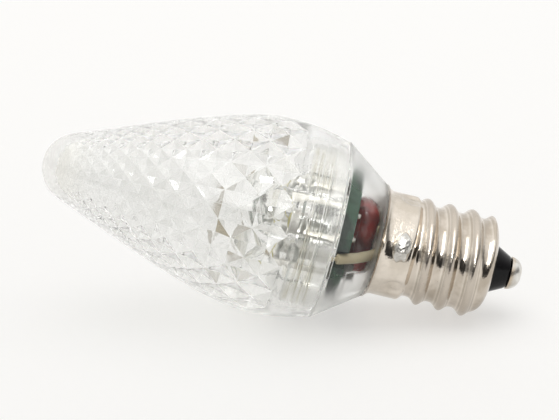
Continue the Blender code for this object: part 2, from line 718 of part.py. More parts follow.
def build_leds(bulb):
    body_mesh = led_body_mesh()
    # the leads end inside their board holes, just short of the solder joints
    foot = FOOT_INSET - BOARD_THICKNESS - GAP
    near, far = (LEAD_SPACING - LEAD_WIDTH) / 2, (LEAD_SPACING + LEAD_WIDTH) / 2
    cup_floor = CUP_HEIGHT - CUP_DEPTH
    slot_mesh = box_mesh("led_slot", (-SLOT_WIDTH / 2, -SLOT_LENGTH / 2, -CUT_MARGIN),
                         (SLOT_WIDTH / 2, SLOT_LENGTH / 2, SLOT_HEIGHT))
    cathode = plate_mesh("led_cathode", [
        (-far, foot), (-near, foot), (-near, cup_floor - CUP_SLOPE),
        (CUP_WIDTH - far, cup_floor), (CUP_WIDTH - far, CUP_HEIGHT), (-far, CUP_HEIGHT),
    ], LEAD_WIDTH)
    anode = plate_mesh("led_anode", [
        (near, foot), (far, foot), (far, CUP_HEIGHT), (near - LEAD_WIDTH / 2, CUP_HEIGHT), (near, cup_floor),
    ], LEAD_WIDTH)
    cup_middle = CUP_WIDTH / 2 - far
    phosphor = turned_mesh("led_phosphor", [(0, PHOSPHOR_RADIUS), (PHOSPHOR_HEIGHT, 0.7 * PHOSPHOR_RADIUS)],
                           PHOSPHOR_SIDES)
    joint = joint_mesh()
    for number in range(LEDS):
        name = f"led_{number + 1}"
        turn = led_turn(number)
        # each LED stands on the board's face and points to the bulb's tip
        stand = Matrix.Translation(turn_point(LED_CIRCLE, turn, BOARD_FACE - GAP))
        upright = stand @ Matrix.Rotation(turn, 4, "Z") @ Matrix.Rotation(math.pi, 4, "X")
        pieces = {
            name: (body_mesh, "clear_plastic", Matrix()),
            f"{name}_cathode": (cathode, "tin", Matrix()),
            f"{name}_anode": (anode, "tin", Matrix()),
            f"{name}_phosphor": (phosphor, "phosphor_yellow",
                                 Matrix.Translation((0, cup_middle, CUP_HEIGHT + GAP))),
            f"{name}_slot_cutter": (slot_mesh, "tin", Matrix()),
        }
        made = {}
        for piece_name, (mesh, material, offset) in pieces.items():
            piece = add_object(piece_name, mesh, material, bulb)
            piece.matrix_local = upright @ offset
            made[piece_name] = piece
        subtract(made[name], made[f"{name}_slot_cutter"])
        for place, side in zip(led_lead_places(number), ("anode", "cathode")):
            add_object(f"{name}_{side}_solder", joint, "solder", bulb,
                       location=(place.x, place.y, board_back() + GAP))


def capacitor_box():
    # between the solder joints of the LEDs beside it, as far out as the housing leaves room
    face = board_back() + 2 * GAP
    back = face + CAPACITOR_THICKNESS
    clearance = JOINT_RADIUS + GAP
    half_width = min(abs(place.y) for place in led_lead_places(1)) - clearance
    top = housing_room(back) - CAPACITOR_MARGIN
    bottom = min(top, LED_CIRCLE - clearance - GAP / 2)
    return Vector((-top, -half_width, face)), Vector((bottom, half_width, back))


def capacitor_pin_places():
    low, high = capacitor_box()
    middle, spacing = (low.x + high.x) / 2, (high.x - low.x) / 3
    return [Vector((middle - spacing, 0, 0)), Vector((middle + spacing, 0, 0))]


def centre_wire_place():
    return Vector((-0.2 * MM, capacitor_box()[1].y + WIRE_RADIUS + 1.5 * GAP, 0))


def back_diode_place():
    # beside the capacitor, its outer corner clear of the housing's ribs
    length, width, height = DIODE_SIZE
    station = board_back() + GAP
    inner_side = capacitor_box()[1].y + 1.5 * GAP
    room = housing_room(station + height) - RIB_STEP - RIB_WIDTH - GAP
    reach = math.sqrt(room ** 2 - (inner_side + width) ** 2)
    return Vector((reach - length / 2, inner_side + width / 2, station))


def build_board_parts(bulb):
    # film capacitor behind the board, on two short leads
    low, high = capacitor_box()
    capacitor = add_object("film_capacitor", box_mesh("film_capacitor", low, high), "brick_red", bulb)
    rounding = capacitor.modifiers.new("rounded_edges", "BEVEL")
    rounding.width = CAPACITOR_ROUND
    rounding.segments = 3
    for number, place in enumerate(capacitor_pin_places(), 1):
        pin_object(f"capacitor_lead_{number}", PIN_RADIUS, BOARD_FACE + FOOT_INSET, low.z - GAP, bulb,
                   location=place)

    # rectifier diodes and resistors as small surface-mounted blocks
    front = BOARD_FACE - GAP
    gap_turn = math.pi / LEDS
    shifted_turn = -gap_turn * SHIFTED_DIODE
    back_place = back_diode_place()
    chips = {
        "diode_1": (DIODE_SIZE, turn_point(CHIP_CIRCLE, gap_turn, front), gap_turn + math.pi / 2, -1),
        "diode_2": (DIODE_SIZE, turn_point(CHIP_CIRCLE, shifted_turn, front), shifted_turn + math.pi / 2, -1),
        "diode_3": (DIODE_SIZE, back_place, 0, 1),
        "diode_4": (DIODE_SIZE, back_place * Vector((1, -1, 1)), 0, 1),
        "resistor_1": (RESISTOR_SIZE, turn_point(CHIP_CIRCLE, math.pi, front), math.pi / 2, -1),
        "resistor_2": (RESISTOR_SIZE, Vector((0, 0, front)), math.pi / 2, -1),
    }
    for name, (size, place, turn, side) in chips.items():
        length, width, height = size
        low = (-length / 2, -width / 2, min(0, side * height))
        high = (length / 2, width / 2, max(0, side * height))
        add_object(name, box_mesh(name, low, high), "chip_black", bulb, location=place, rotation=(0, 0, turn))


def wire_object(name, route, bulb, material="cream_plastic"):
    # route: (place, radius) pairs; the radius falls where the wire is stripped
    curve = bpy.data.curves.new(name, "CURVE")
    curve.dimensions = "3D"
    curve.bevel_depth = WIRE_RADIUS
    curve.bevel_resolution = 2
    curve.resolution_u = 3
    curve.use_fill_caps = True
    spline = curve.splines.new("BEZIER")
    spline.bezier_points.add(len(route) - 1)
    for point, (place, radius) in zip(spline.bezier_points, route):
        point.co = place
        point.radius = radius / WIRE_RADIUS
        point.handle_left_type = "AUTO"
        point.handle_right_type = "AUTO"
    wire = bpy.data.objects.new(name, curve)
    bpy.context.collection.objects.link(wire)
    wire.parent = bulb
    curve.materials.append(make_material(material))
    return wire


def build_wires(bulb):
    wide, _, bore = neck_radii()
    room = GAP + WIRE_RADIUS
    notch_wire = LED_ROOM - room
    neck_wire = bore - room
    back = board_back()
    straight_end = back + CONE_WIRE_LENGTH

    def cone_wire(station):
        # centre of a wire that lies along the inside of the cone
        return inner_cone_radius(station) - WIRE_CLEARANCE * room

    bend = neck_wire + NECK_WIRE_BEND * (cone_wire(CONE_END) - neck_wire)
    first_turn = (WIRE_TURN * 2 + NECK_WIRE_TURN) / 3
    second_turn = (WIRE_TURN + NECK_WIRE_TURN * 2) / 3
    route = [
        (notch_wire - PAD_REACH, WIRE_TURN + PAD_TURN, BOARD_FACE - GAP - 2 * STRAND_RADIUS, STRAND_RADIUS),
        (notch_wire - GAP, WIRE_TURN, BOARD_FACE - 2 * STRIP_LENGTH, STRAND_RADIUS),
        (notch_wire, WIRE_TURN, BOARD_FACE - STRIP_LENGTH, WIRE_RADIUS),
        (cone_wire(back), WIRE_TURN, back, WIRE_RADIUS),
        (cone_wire(straight_end), first_turn, straight_end, WIRE_RADIUS),
        (bend, second_turn, CONE_END, WIRE_RADIUS),
        (neck_wire, NECK_WIRE_TURN, NECK_WIRE_START, WIRE_RADIUS),
        (neck_wire, NECK_WIRE_TURN, NECK_WIRE_END, WIRE_RADIUS),
        (neck_wire, NECK_WIRE_TURN, NECK_WIRE_END + STRIP_LENGTH, STRAND_RADIUS),
        ((neck_wire + bore) / 2, SOLDER_TURN, SOLDER_STATION, STRAND_RADIUS),
        (bore, SOLDER_TURN, SOLDER_STATION, STRAND_RADIUS),
        (wide, SOLDER_TURN, SOLDER_STATION, STRAND_RADIUS),
    ]
    wire_object("shell_lead", [(turn_point(*place), radius) for *place, radius in route], bulb)

    place = centre_wire_place()
    stem_end = contact_end() - CONTACT_HEIGHT - STEM_LENGTH
    tail = stem_end - CENTRE_WIRE_TAIL
    bends = [(Vector((x, y, HOUSING_END + along)), WIRE_RADIUS) for x, y, along in CENTRE_WIRE_BENDS]
    wire_object("centre_lead", [
        (Vector((place.x, place.y, BOARD_FACE + FOOT_INSET)), STRAND_RADIUS),
        (Vector((place.x, place.y, back)), STRAND_RADIUS),
        (Vector((place.x, place.y, back + STRIP_LENGTH)), WIRE_RADIUS),
        (Vector((place.x, place.y, back + CAPACITOR_THICKNESS)), WIRE_RADIUS),
        *bends,
        (Vector((0, 0, tail)), WIRE_RADIUS),
        (Vector((0, 0, tail + STRIP_LENGTH)), STRAND_RADIUS),
        (Vector((0, 0, stem_end - GAP)), STRAND_RADIUS),
    ], bulb)


def lowest_height(points, tilt):
    # how far below the bulb's axis origin the points reach when the contact end drops by tilt
    return max(point.z * math.sin(tilt) + point.x * math.cos(tilt) for point in points)


def resting_tilt(lens, shell):
    # the bulb leans until its lens and its last thread crest touch the table together
    lens_points = [vertex.co for vertex in lens.data.vertices]
    shell_points = [vertex.co for vertex in shell.data.vertices]
    low, high = 0.0, math.radians(45)
    for _ in range(40):
        tilt = (low + high) / 2
        if lowest_height(lens_points, tilt) > lowest_height(shell_points, tilt):
            low = tilt
        else:
            high = tilt
    return low


def lay_on_table(bulb, lens, shell, contact):
    tilt = resting_tilt(lens, shell)
    bulb.rotation_euler = (0, math.pi / 2 + tilt, 0)
    points = [vertex.co for piece in (lens, shell, contact) for vertex in piece.data.vertices]
    along = [point.z * math.cos(tilt) - point.x * math.sin(tilt) for point in points]
    bulb.location = (-(min(along) + max(along)) / 2, 0, lowest_height(points, tilt))


def main():
    clear_scene()
    bulb = bpy.data.objects.new("bulb", None)
    bpy.context.collection.objects.link(bulb)
    lens = build_lens(bulb)
    build_housing(bulb)
    build_board(bulb)
    build_leds(bulb)
    build_board_parts(bulb)
    build_wires(bulb)
    shell = build_screw_shell(bulb)
    build_side_solder(bulb)
    build_insulator(bulb)
    contact = build_contact(bulb)
    lay_on_table(bulb, lens, shell, contact)


main()
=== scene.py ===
import math
import random

import bmesh
import bpy
from mathutils import Matrix, Vector, noise
from mathutils.geometry import interpolate_bezier


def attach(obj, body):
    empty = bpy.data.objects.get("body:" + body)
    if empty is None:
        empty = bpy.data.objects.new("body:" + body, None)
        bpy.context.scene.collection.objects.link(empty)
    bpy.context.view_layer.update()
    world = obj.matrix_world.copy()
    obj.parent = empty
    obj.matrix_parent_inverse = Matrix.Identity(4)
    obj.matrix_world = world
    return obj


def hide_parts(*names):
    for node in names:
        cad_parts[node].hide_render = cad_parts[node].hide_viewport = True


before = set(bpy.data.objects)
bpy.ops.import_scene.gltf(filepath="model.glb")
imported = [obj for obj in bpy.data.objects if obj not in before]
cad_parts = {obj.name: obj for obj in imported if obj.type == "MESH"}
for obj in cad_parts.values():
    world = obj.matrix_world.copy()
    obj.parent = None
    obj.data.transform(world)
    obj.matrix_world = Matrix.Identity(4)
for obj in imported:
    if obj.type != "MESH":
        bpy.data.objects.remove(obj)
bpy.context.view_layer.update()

print("frame loaded")

mm = 0.001

# The bulb's own axes: Z runs from the seam towards the contact, X down to the table, Y away from the viewer.
bulbPose = {"place": (4.7551 * mm, 0, 9.4947 * mm), "turn": math.radians(103.563536)}
toWorld = Matrix.Translation(bulbPose["place"]) @ Matrix.Rotation(bulbPose["turn"], 4, "Y")


def newObject(name, data):
    piece = bpy.data.objects.new(name, data)
    bpy.context.collection.objects.link(piece)
    return piece


def fillInputs(tree, node, values):
    # plain values are set, and outputs of other nodes are linked
    for key, value in values.items():
        if isinstance(value, bpy.types.NodeSocket):
            tree.links.new(value, node.inputs[key])
        else:
            node.inputs[key].default_value = value


def addNode(tree, kind, settings=None, values=None):
    node = tree.nodes.new(kind)
    for key, value in (settings or {}).items():
        setattr(node, key, value)
    fillInputs(tree, node, values or {})
    return node


def addMath(tree, operation, *values):
    return addNode(tree, "ShaderNodeMath", {"operation": operation}, dict(enumerate(values))).outputs[0]


def multiply(tree, product, *others):
    for other in others:
        product = addMath(tree, "MULTIPLY", product, other)
    return product


def addRange(tree, value, low, high, newLow=0.0, newHigh=1.0):
    # soft step from newLow at low to newHigh at high
    node = addNode(tree, "ShaderNodeMapRange", {"interpolation_type": "SMOOTHSTEP"},
                   {"Value": value, "From Min": low, "From Max": high, "To Min": newLow, "To Max": newHigh})
    return node.outputs["Result"]


def addBand(tree, value, start, full, fade, end, most=1.0):
    # 0 up to start, most from full to fade, and 0 again from end on
    return multiply(tree, addRange(tree, value, start, full, 0.0, most),
                    addRange(tree, value, fade, end, 1.0, 0.0))


def addNoise(tree, vector, scale, detail, roughness=0.55):
    values = {"Vector": vector, "Scale": scale, "Detail": detail, "Roughness": roughness}
    return addNode(tree, "ShaderNodeTexNoise", values=values).outputs["Fac"]


def mixColours(tree, factor, first, second):
    first, second = ((*colour, 1) if isinstance(colour, tuple) else colour for colour in (first, second))
    return addNode(tree, "ShaderNodeMix", {"data_type": "RGBA"}, {0: factor, 6: first, 7: second}).outputs[2]


def objectCoords(tree):
    return addNode(tree, "ShaderNodeTexCoord").outputs["Object"]


def newGroup(name, inputs, outputs):
    group = bpy.data.node_groups.new(name, "ShaderNodeTree")
    for label, value in inputs.items():
        group.interface.new_socket(label, in_out="INPUT", socket_type="NodeSocketFloat").default_value = value
    for label in outputs:
        group.interface.new_socket(label, in_out="OUTPUT", socket_type="NodeSocketFloat")
    return group, group.nodes.new("NodeGroupInput"), group.nodes.new("NodeGroupOutput")


def useGroup(tree, group, **values):
    return addNode(tree, "ShaderNodeGroup", {"node_tree": group}, values)


effectLook = {
    "cloudDetail": 4.0, "grainDetail": 3.0, "grainHeight": 0.4, "cloudEdges": (0.32, 0.68),
    "lineDetail": 4.0, "lineRoughness": 0.7, "lineEdges": (0.4, 0.64),
    "bendScale": 120.0, "bendDetail": 1.0, "bend": 0.004, "scuffTurn": (0.5, 0.9, 0.3),
    "scuffStretch": (1.0, 9.0, 9.0), "scuffDetail": 2.0, "scuffLevel": 0.78, "scuffGain": 0.16,
    "scuffEdge": 0.04,
}


def makeMottle(look):
    # soft cloudy variation with a finer grain in it
    group, start, end = newGroup("softMottle", {"Scale": 300.0, "Grain": 5.0}, ("Mask", "Height"))
    scale, coords = start.outputs["Scale"], objectCoords(group)
    clouds = addNoise(group, coords, scale, look["cloudDetail"])
    grain = addNoise(group, coords, multiply(group, scale, start.outputs["Grain"]), look["grainDetail"])
    fillInputs(group, end, {"Mask": addRange(group, clouds, *look["cloudEdges"]),
                            "Height": addMath(group, "MULTIPLY_ADD", grain, look["grainHeight"], clouds)})
    return group


def makeBulbSpace():
    # where a point lies on the bulb: along its axis and away from it in mm, and the turn about it
    group, _, end = newGroup("bulbSpace", {}, ("Station", "Radius", "Turn"))
    mapping = addNode(group, "ShaderNodeMapping", {"vector_type": "TEXTURE"}, {
        "Vector": objectCoords(group), "Location": bulbPose["place"],
        "Rotation": (0, bulbPose["turn"], 0), "Scale": (mm, mm, mm)})
    x, y, z = addNode(group, "ShaderNodeSeparateXYZ", values={0: mapping.outputs[0]}).outputs
    squares = addMath(group, "MULTIPLY_ADD", x, x, multiply(group, y, y))
    fillInputs(group, end, {"Station": z, "Radius": addMath(group, "SQRT", squares),
                            "Turn": addMath(group, "ARCTAN2", y, x)})
    return group


def makeTurnedLines(look, bulbSpace):
    # fine lines that run round the bulb, as drawn metal and moulding leave them
    group, start, end = newGroup("turnedLines", {"Lines": 6.0, "Break": 1.2}, ("Mask", "Height"))
    space = useGroup(group, bulbSpace)
    vector = addNode(group, "ShaderNodeCombineXYZ", values={
        0: multiply(group, space.outputs["Station"], start.outputs["Lines"]),
        1: multiply(group, space.outputs["Turn"], start.outputs["Break"])})
    lines = addNoise(group, vector.outputs[0], 1.0, look["lineDetail"], look["lineRoughness"])
    fillInputs(group, end, {"Mask": addRange(group, lines, *look["lineEdges"]), "Height": lines})
    return group


def makeScuffs(look):
    # short thin scratches in scattered directions
    group, start, end = newGroup("handlingScuffs", {"Scale": 400.0, "Amount": 0.5}, ("Mask",))
    coords = objectCoords(group)
    bend = addNode(group, "ShaderNodeTexNoise",
                   values={"Vector": coords, "Scale": look["bendScale"], "Detail": look["bendDetail"]})
    bent = addNode(group, "ShaderNodeMix", {"data_type": "VECTOR"},
                   {"Factor": look["bend"], 4: coords, 5: bend.outputs["Color"]})
    squeeze = addNode(group, "ShaderNodeMapping", values={
        "Vector": bent.outputs[1], "Rotation": look["scuffTurn"], "Scale": look["scuffStretch"]})
    streaks = addNoise(group, squeeze.outputs[0], start.outputs["Scale"], look["scuffDetail"])
    gain = multiply(group, start.outputs["Amount"], look["scuffGain"])
    over = addMath(group, "SUBTRACT", streaks, addMath(group, "SUBTRACT", look["scuffLevel"], gain))
    fillInputs(group, end, {"Mask": addRange(group, over, 0.0, look["scuffEdge"])})
    return group


mottleGroup = makeMottle(effectLook)
bulbSpaceGroup = makeBulbSpace()
turnedLinesGroup = makeTurnedLines(effectLook, bulbSpaceGroup)
scuffGroup = makeScuffs(effectLook)
print("shader groups ready")


def newMaterial(name, colour, roughness, metallic=0.0):
    material = bpy.data.materials.new(name)
    material.use_nodes = True
    tree = material.node_tree
    shader = tree.nodes["Principled BSDF"]
    fillInputs(tree, shader, {"Base Color": (*colour, 1), "Roughness": roughness, "Metallic": metallic})
    return material, tree, shader


def addBump(tree, shader, height, distance, under=None):
    values = {"Height": height, "Distance": distance}
    if under:
        values["Normal"] = under
    normal = addNode(tree, "ShaderNodeBump", values=values).outputs["Normal"]
    fillInputs(tree, shader, {"Normal": normal})
    return normal


# spread: how many times rougher the roughest patches are than the smoothest
finish = {
    "clearSpread": 1.8, "metalSpread": 1.7, "solidSpread": 1.5, "wornShare": 0.5, "coatRoughness": 0.05,
    "grimeAndShadeLeast": 0.6,
}


def startFinish(name, look, spread, metallic=0.0):
    # what all the finishes share: mottled colour and roughness, scuffs and a slightly uneven surface
    material, tree, shader = newMaterial(name, look["colour"], look["roughness"], metallic)
    fillInputs(tree, shader, {"Specular IOR Level": look.get("shine", 0.5)})
    mottle = useGroup(tree, mottleGroup, Scale=look["mottleScale"]).outputs
    scuffs = useGroup(tree, scuffGroup, Scale=look["scuffScale"], Amount=look["scuffs"]).outputs["Mask"]
    rough = addRange(tree, mottle["Mask"], 0, 1, look["roughness"], look["roughness"] * spread)
    return material, tree, shader, {
        "clouds": mottle["Mask"], "scuffs": scuffs,
        "colour": mixColours(tree, mottle["Mask"], look["colour"], look["shade"]),
        "rough": addMath(tree, "MULTIPLY_ADD", scuffs, look["scuffRoughness"], rough),
        "normal": addBump(tree, shader, mottle["Height"], look["wave"]),
    }


def letLightThrough(tree, shader, look):
    # clear plastic lets lamp light and scattered light through with a small tint of its own,
    # and light that is caught between its faces finds a way out
    path = addNode(tree, "ShaderNodeLightPath").outputs
    scattered = addMath(tree, "GREATER_THAN", path["Diffuse Depth"], 0.5)
    lighting = addMath(tree, "MAXIMUM", path["Is Shadow Ray"], scattered)
    caught = addMath(tree, "GREATER_THAN", path["Ray Depth"], look["escapeDepth"] - 0.5)
    shadow = look["shadowTint"]
    if "tipShadow" in look:
        station = useGroup(tree, bulbSpaceGroup).outputs["Station"]
        shadow = mixColours(tree, addRange(tree, station, *look["tipShadowPlace"]), look["tipShadow"], shadow)
    tint = mixColours(tree, lighting, look["escapeTint"], shadow)
    clear = addNode(tree, "ShaderNodeBsdfTransparent", values={"Color": tint})
    mixed = addNode(tree, "ShaderNodeMixShader", values={
        0: addMath(tree, "MAXIMUM", lighting, caught), 1: shader.outputs[0], 2: clear.outputs[0]})
    fillInputs(tree, tree.nodes["Material Output"], {"Surface": mixed.outputs[0]})


def clearPlastic(name, look):
    material, tree, shader, base = startFinish(name, look, finish["clearSpread"])
    fillInputs(tree, shader, {"Transmission Weight": look["clear"], "IOR": look["ior"]})
    clouds, colour, rough = base["clouds"], base["colour"], base["rough"]
    space = useGroup(tree, bulbSpaceGroup).outputs
    station, radius = space["Station"], space["Radius"]
    if "tipColour" in look:
        colour = mixColours(tree, addRange(tree, station, *look["tipPlace"]), look["tipColour"], colour)
    if "paintedFacetShade" in look:
        # painted shade on some facets and painted brown reflections of the parts inside on a few, as what the
        # facets mirror differs; the rounds between them are matt
        tone, ridge = (addNode(tree, "ShaderNodeAttribute", {"attribute_name": label}).outputs["Fac"]
                       for label in ("tone", "ridge"))
        colour = mixColours(tree, addRange(tree, tone, *look["shadeTones"]), colour, look["paintedFacetShade"])
        innerReflection = multiply(tree, addRange(tree, tone, *look["innerReflectionTones"]),
                         addBand(tree, station, *look["innerReflectionPlace"]),
                         addRange(tree, clouds, *look["innerReflectionClouds"]))
        colour = mixColours(tree, innerReflection, colour, look["paintedInnerReflection"])
        rough = addMath(tree, "MULTIPLY_ADD", ridge, look["ridgeRoughness"], rough)
    # painted shade: the cone greys towards the shell's rim
    if "endPaintedShade" in look:
        colour = mixColours(tree, addRange(tree, station, *look["endPlace"]), colour, look["endPaintedShade"])
    if "streakColour" in look:
        lines = useGroup(tree, turnedLinesGroup, Lines=look["lines"], Break=look["lineBreak"])
        streaks = multiply(tree, lines.outputs["Mask"], addRange(tree, clouds, *look["streakClouds"]),
                           addBand(tree, station, *look["streakPlace"]))
        colour = mixColours(tree, streaks, colour, look["streakColour"])
    if "haze" in look:
        haze = multiply(tree, addRange(tree, station, *look["hazePlace"], 0.0, look["haze"]),
                        addRange(tree, radius, *look["hazeInside"]))
        rough = addMath(tree, "ADD", rough, haze)
    if "frost" in look:
        facing = addNode(tree, "ShaderNodeLayerWeight", values={"Blend": 0.5}).outputs["Facing"]
        rough = addMath(tree, "ADD", rough, addRange(tree, facing, *look["frostFacing"], 0.0, look["frost"]))
    fillInputs(tree, shader, {"Base Color": colour, "Roughness": rough})
    letLightThrough(tree, shader, look)
    return material


def platedMetal(name, look):
    material, tree, shader, base = startFinish(name, look, finish["metalSpread"], metallic=1.0)
    colour, rough = base["colour"], base["rough"]
    if "grimeAndShade" in look:
        space = useGroup(tree, bulbSpaceGroup).outputs
        station, radius = space["Station"], space["Radius"]
        # grime, and in the shell's thread valleys partly painted shade
        grimeAndShade = multiply(tree, addRange(tree, radius, *look["grimeAndShadeRadius"], look["grimeAndShade"], 0.0),
                         addRange(tree, base["clouds"], 0, 1, finish["grimeAndShadeLeast"], 1.0))
        if "crestColour" in look:
            # dull crests of the thread, painted shade along the flanks, and a dark line along the rim's edge
            thread = addRange(tree, station, *look["crestStation"])
            crest = multiply(tree, addRange(tree, radius, *look["crestRadius"]), thread)
            colour = mixColours(tree, crest, colour, look["crestColour"])
            rough = addMath(tree, "MULTIPLY_ADD", crest, look["crestRoughness"], rough)
            flank = multiply(tree, addBand(tree, radius, *look["flankRadius"], look["flank"]), thread)
            edge = addRange(tree, station, *look["edgeStation"], look["rimDarkLine"], 0.0)
            grimeAndShade = addMath(tree, "MAXIMUM", addMath(tree, "MAXIMUM", grimeAndShade, edge), flank)
        colour = mixColours(tree, grimeAndShade, colour, look["grimeAndShadeColour"])
    fillInputs(tree, shader, {"Base Color": colour, "Roughness": rough})
    if "lines" in look:
        lines = useGroup(tree, turnedLinesGroup, Lines=look["lines"], Break=look["lineBreak"])
        addBump(tree, shader, lines.outputs["Height"], look["lineDepth"], base["normal"])
    return material


def solidPlastic(name, look):
    material, tree, shader, base = startFinish(name, look, finish["solidSpread"])
    worn = multiply(tree, base["scuffs"], finish["wornShare"])
    fillInputs(tree, shader, {"Base Color": mixColours(tree, worn, base["colour"], look["worn"]),
                              "Roughness": base["rough"]})
    if "coat" in look:
        fillInputs(tree, shader, {"Coat Weight": look["coat"], "Coat Roughness": finish["coatRoughness"]})
    return material


def turnPoint(radius, turn, station):
    # turn 0 faces down, a quarter turn faces away from the viewer
    return Vector((radius * math.cos(turn), radius * math.sin(turn), station))


def addRing(shape, radius, station, sides):
    if radius < 1e-7:
        return [shape.verts.new((0, 0, station))]
    # half of a coarse side on, so that fine and coarse rings share their corners
    return [shape.verts.new(turnPoint(radius, 2 * math.pi * i / sides + math.pi / 36, station))
            for i in range(sides)]


def joinRings(shape, first, second):
    # the finer ring has a whole number of corners for each one of the other
    few, many = (first, second) if len(first) < len(second) else (second, first)
    ratio = len(many) // len(few)
    for i in range(len(few)):
        if len(few) == 1:
            for j in range(len(many)):
                shape.faces.new((few[0], many[j], many[(j + 1) % len(many)]))
            break
        far = [many[(i * ratio + step) % len(many)] for step in range(ratio + 1)]
        shape.faces.new([few[i], few[(i + 1) % len(few)], *reversed(far)])


def joinAll(shape, rings):
    for first, second in zip(rings, rings[1:]):
        joinRings(shape, first, second)


def turnedShape(outline, sides, closed=False):
    # outline: (station, radius) points that are turned about the bulb's axis
    shape = bmesh.new()
    rings = [addRing(shape, radius, station, sides) for station, radius in outline]
    joinAll(shape, rings)
    if closed:
        joinRings(shape, rings[-1], rings[0])
    else:
        for ring in (rings[0], rings[-1]):
            if len(ring) > 1:
                shape.faces.new(ring)
    return shape


def arcPoints(centre, radii, start, end, count):
    # (station, radius) points on part of an ellipse; angles are from the station axis
    angles = [math.radians(start + (end - start) * i / count) for i in range(count + 1)]
    return [(centre[0] + radii[0] * math.cos(a), centre[1] + radii[1] * math.sin(a)) for a in angles]


def roundCorners(outline, size, steps=3):
    # softens each inner corner of an outline with a small curve
    result = [outline[0]]
    for before, corner, after in zip(outline, outline[1:], outline[2:]):
        before, corner, after = Vector(before), Vector(corner), Vector(after)
        first = corner + (before - corner).normalized() * min(size, (before - corner).length / 2.2)
        last = corner + (after - corner).normalized() * min(size, (after - corner).length / 2.2)
        for i in range(steps + 1):
            t = i / steps
            result.append(tuple(first * (1 - t) ** 2 + corner * 2 * t * (1 - t) + last * t ** 2))
    return result + [outline[-1]]


def scaled(outline):
    return [(station * mm, radius * mm) for station, radius in outline]


def meshFrom(name, shape):
    mesh = bpy.data.meshes.new(name)
    shape.to_mesh(mesh)
    shape.free()
    return mesh


def smoothMesh(mesh, sharp):
    # smooth shading, apart from edges that turn by more than sharp degrees
    mesh.shade_smooth()
    mesh.set_sharp_from_angle(angle=math.radians(sharp))


def shapeToMesh(name, shape, sharp, place=None):
    bmesh.ops.recalc_face_normals(shape, faces=shape.faces)
    mesh = meshFrom(name, shape)
    if place:
        mesh.transform(place)
    smoothMesh(mesh, sharp)
    return mesh


def turnedMesh(name, outline, sides, sharp, place=None, closed=False):
    return shapeToMesh(name, turnedShape(scaled(outline), sides, closed), sharp, place)


def joinMeshes(name, parts):
    # parts: (mesh, material number) pairs that become one mesh
    shape = bmesh.new()
    for mesh, number in parts:
        before = len(shape.faces)
        shape.from_mesh(mesh)
        shape.faces.ensure_lookup_table()
        for face in shape.faces[before:]:
            face.material_index = number
    return meshFrom(name, shape)


def bevelEdges(shape, edges, rounding, segments):
    return bmesh.ops.bevel(shape, geom=edges, offset=rounding, segments=segments, profile=0.5,
                           affect="EDGES", clamp_overlap=True)


def placePiece(name, mesh, materials, nodes):
    # the mesh is in the bulb's axes; here it goes to its place on the table
    mesh.transform(toWorld)
    piece = newObject(name, mesh)
    mesh.materials.clear()
    for material in materials:
        mesh.materials.append(material)
    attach(piece, "root")
    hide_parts(*nodes)


def tubeShape(points, radii, sides):
    # round tube along the points, with flat ends
    shape = bmesh.new()
    normal = (points[1] - points[0]).orthogonal().normalized()
    rings = []
    for i, point in enumerate(points):
        tangent = (points[min(i + 1, len(points) - 1)] - points[max(i - 1, 0)]).normalized()
        normal = (normal - tangent * normal.dot(tangent)).normalized()
        side = tangent.cross(normal)
        rings.append([shape.verts.new(point + (normal * math.cos(a) + side * math.sin(a)) * radii[i])
                      for a in (2 * math.pi * k / sides for k in range(sides))])
    joinAll(shape, rings)
    shape.faces.new(rings[0])
    shape.faces.new(rings[-1])
    return shape


def smoothPath(points, steps):
    # smooth curve through the points, with steps pieces between each two of them
    padded = [points[0] * 2 - points[1], *points, points[-1] * 2 - points[-2]]
    result = []
    for a, b, c, d in zip(padded, padded[1:], padded[2:], padded[3:]):
        for i in range(steps):
            t = i / steps
            result.append(0.5 * (2 * b + (c - a) * t + (2 * a - 5 * b + 4 * c - d) * t ** 2
                                 + (3 * b - a - 3 * c + d) * t ** 3))
    return result + [points[-1]]


def blockShape(low, high, rounding, segments=3):
    shape = bmesh.new()
    bmesh.ops.create_cube(shape, size=1)
    place = Matrix.Translation((low + high) / 2) @ Matrix.Diagonal((*(high - low), 1))
    bmesh.ops.transform(shape, matrix=place, verts=shape.verts)
    bevelEdges(shape, list(shape.edges), rounding, segments)
    return shape


# places along the bulb are in mm from the seam, and come as pairs or fours for addRange and addBand
lensLook = {
    "colour": (0.99, 0.99, 0.985), "shade": (0.975, 0.975, 0.965), "roughness": 0.02, "ior": 1.49,
    "clear": 0.94, "shine": 0.3, "mottleScale": 130.0, "scuffScale": 260.0, "scuffs": 0.35,
    "scuffRoughness": 0.12, "wave": 0.03 * mm, "ridgeRoughness": 0.3,
    "tipColour": (0.975, 0.972, 0.95), "tipPlace": (-29.5, -25.5),
    "shadowTint": (0.95, 0.95, 0.94), "tipShadow": (0.86, 0.86, 0.85), "tipShadowPlace": (-24.0, -9.0),
    "escapeTint": (0.98, 0.98, 0.975), "escapeDepth": 5,
    # painted facet shade, and painted brown reflections of the parts inside, with the tones, places and
    # clouds that pick them
    "paintedFacetShade": (0.89, 0.895, 0.88), "shadeTones": (0.5, 0.92), "paintedInnerReflection": (0.20, 0.16, 0.09),
    "innerReflectionTones": (0.86, 0.97), "innerReflectionPlace": (-13.5, -12.5, -6.5, -5.5), "innerReflectionClouds": (0.2, 0.5),
    "haze": 0.14, "hazePlace": (-2.4, -0.9), "hazeInside": (9.6, 9.5),
}
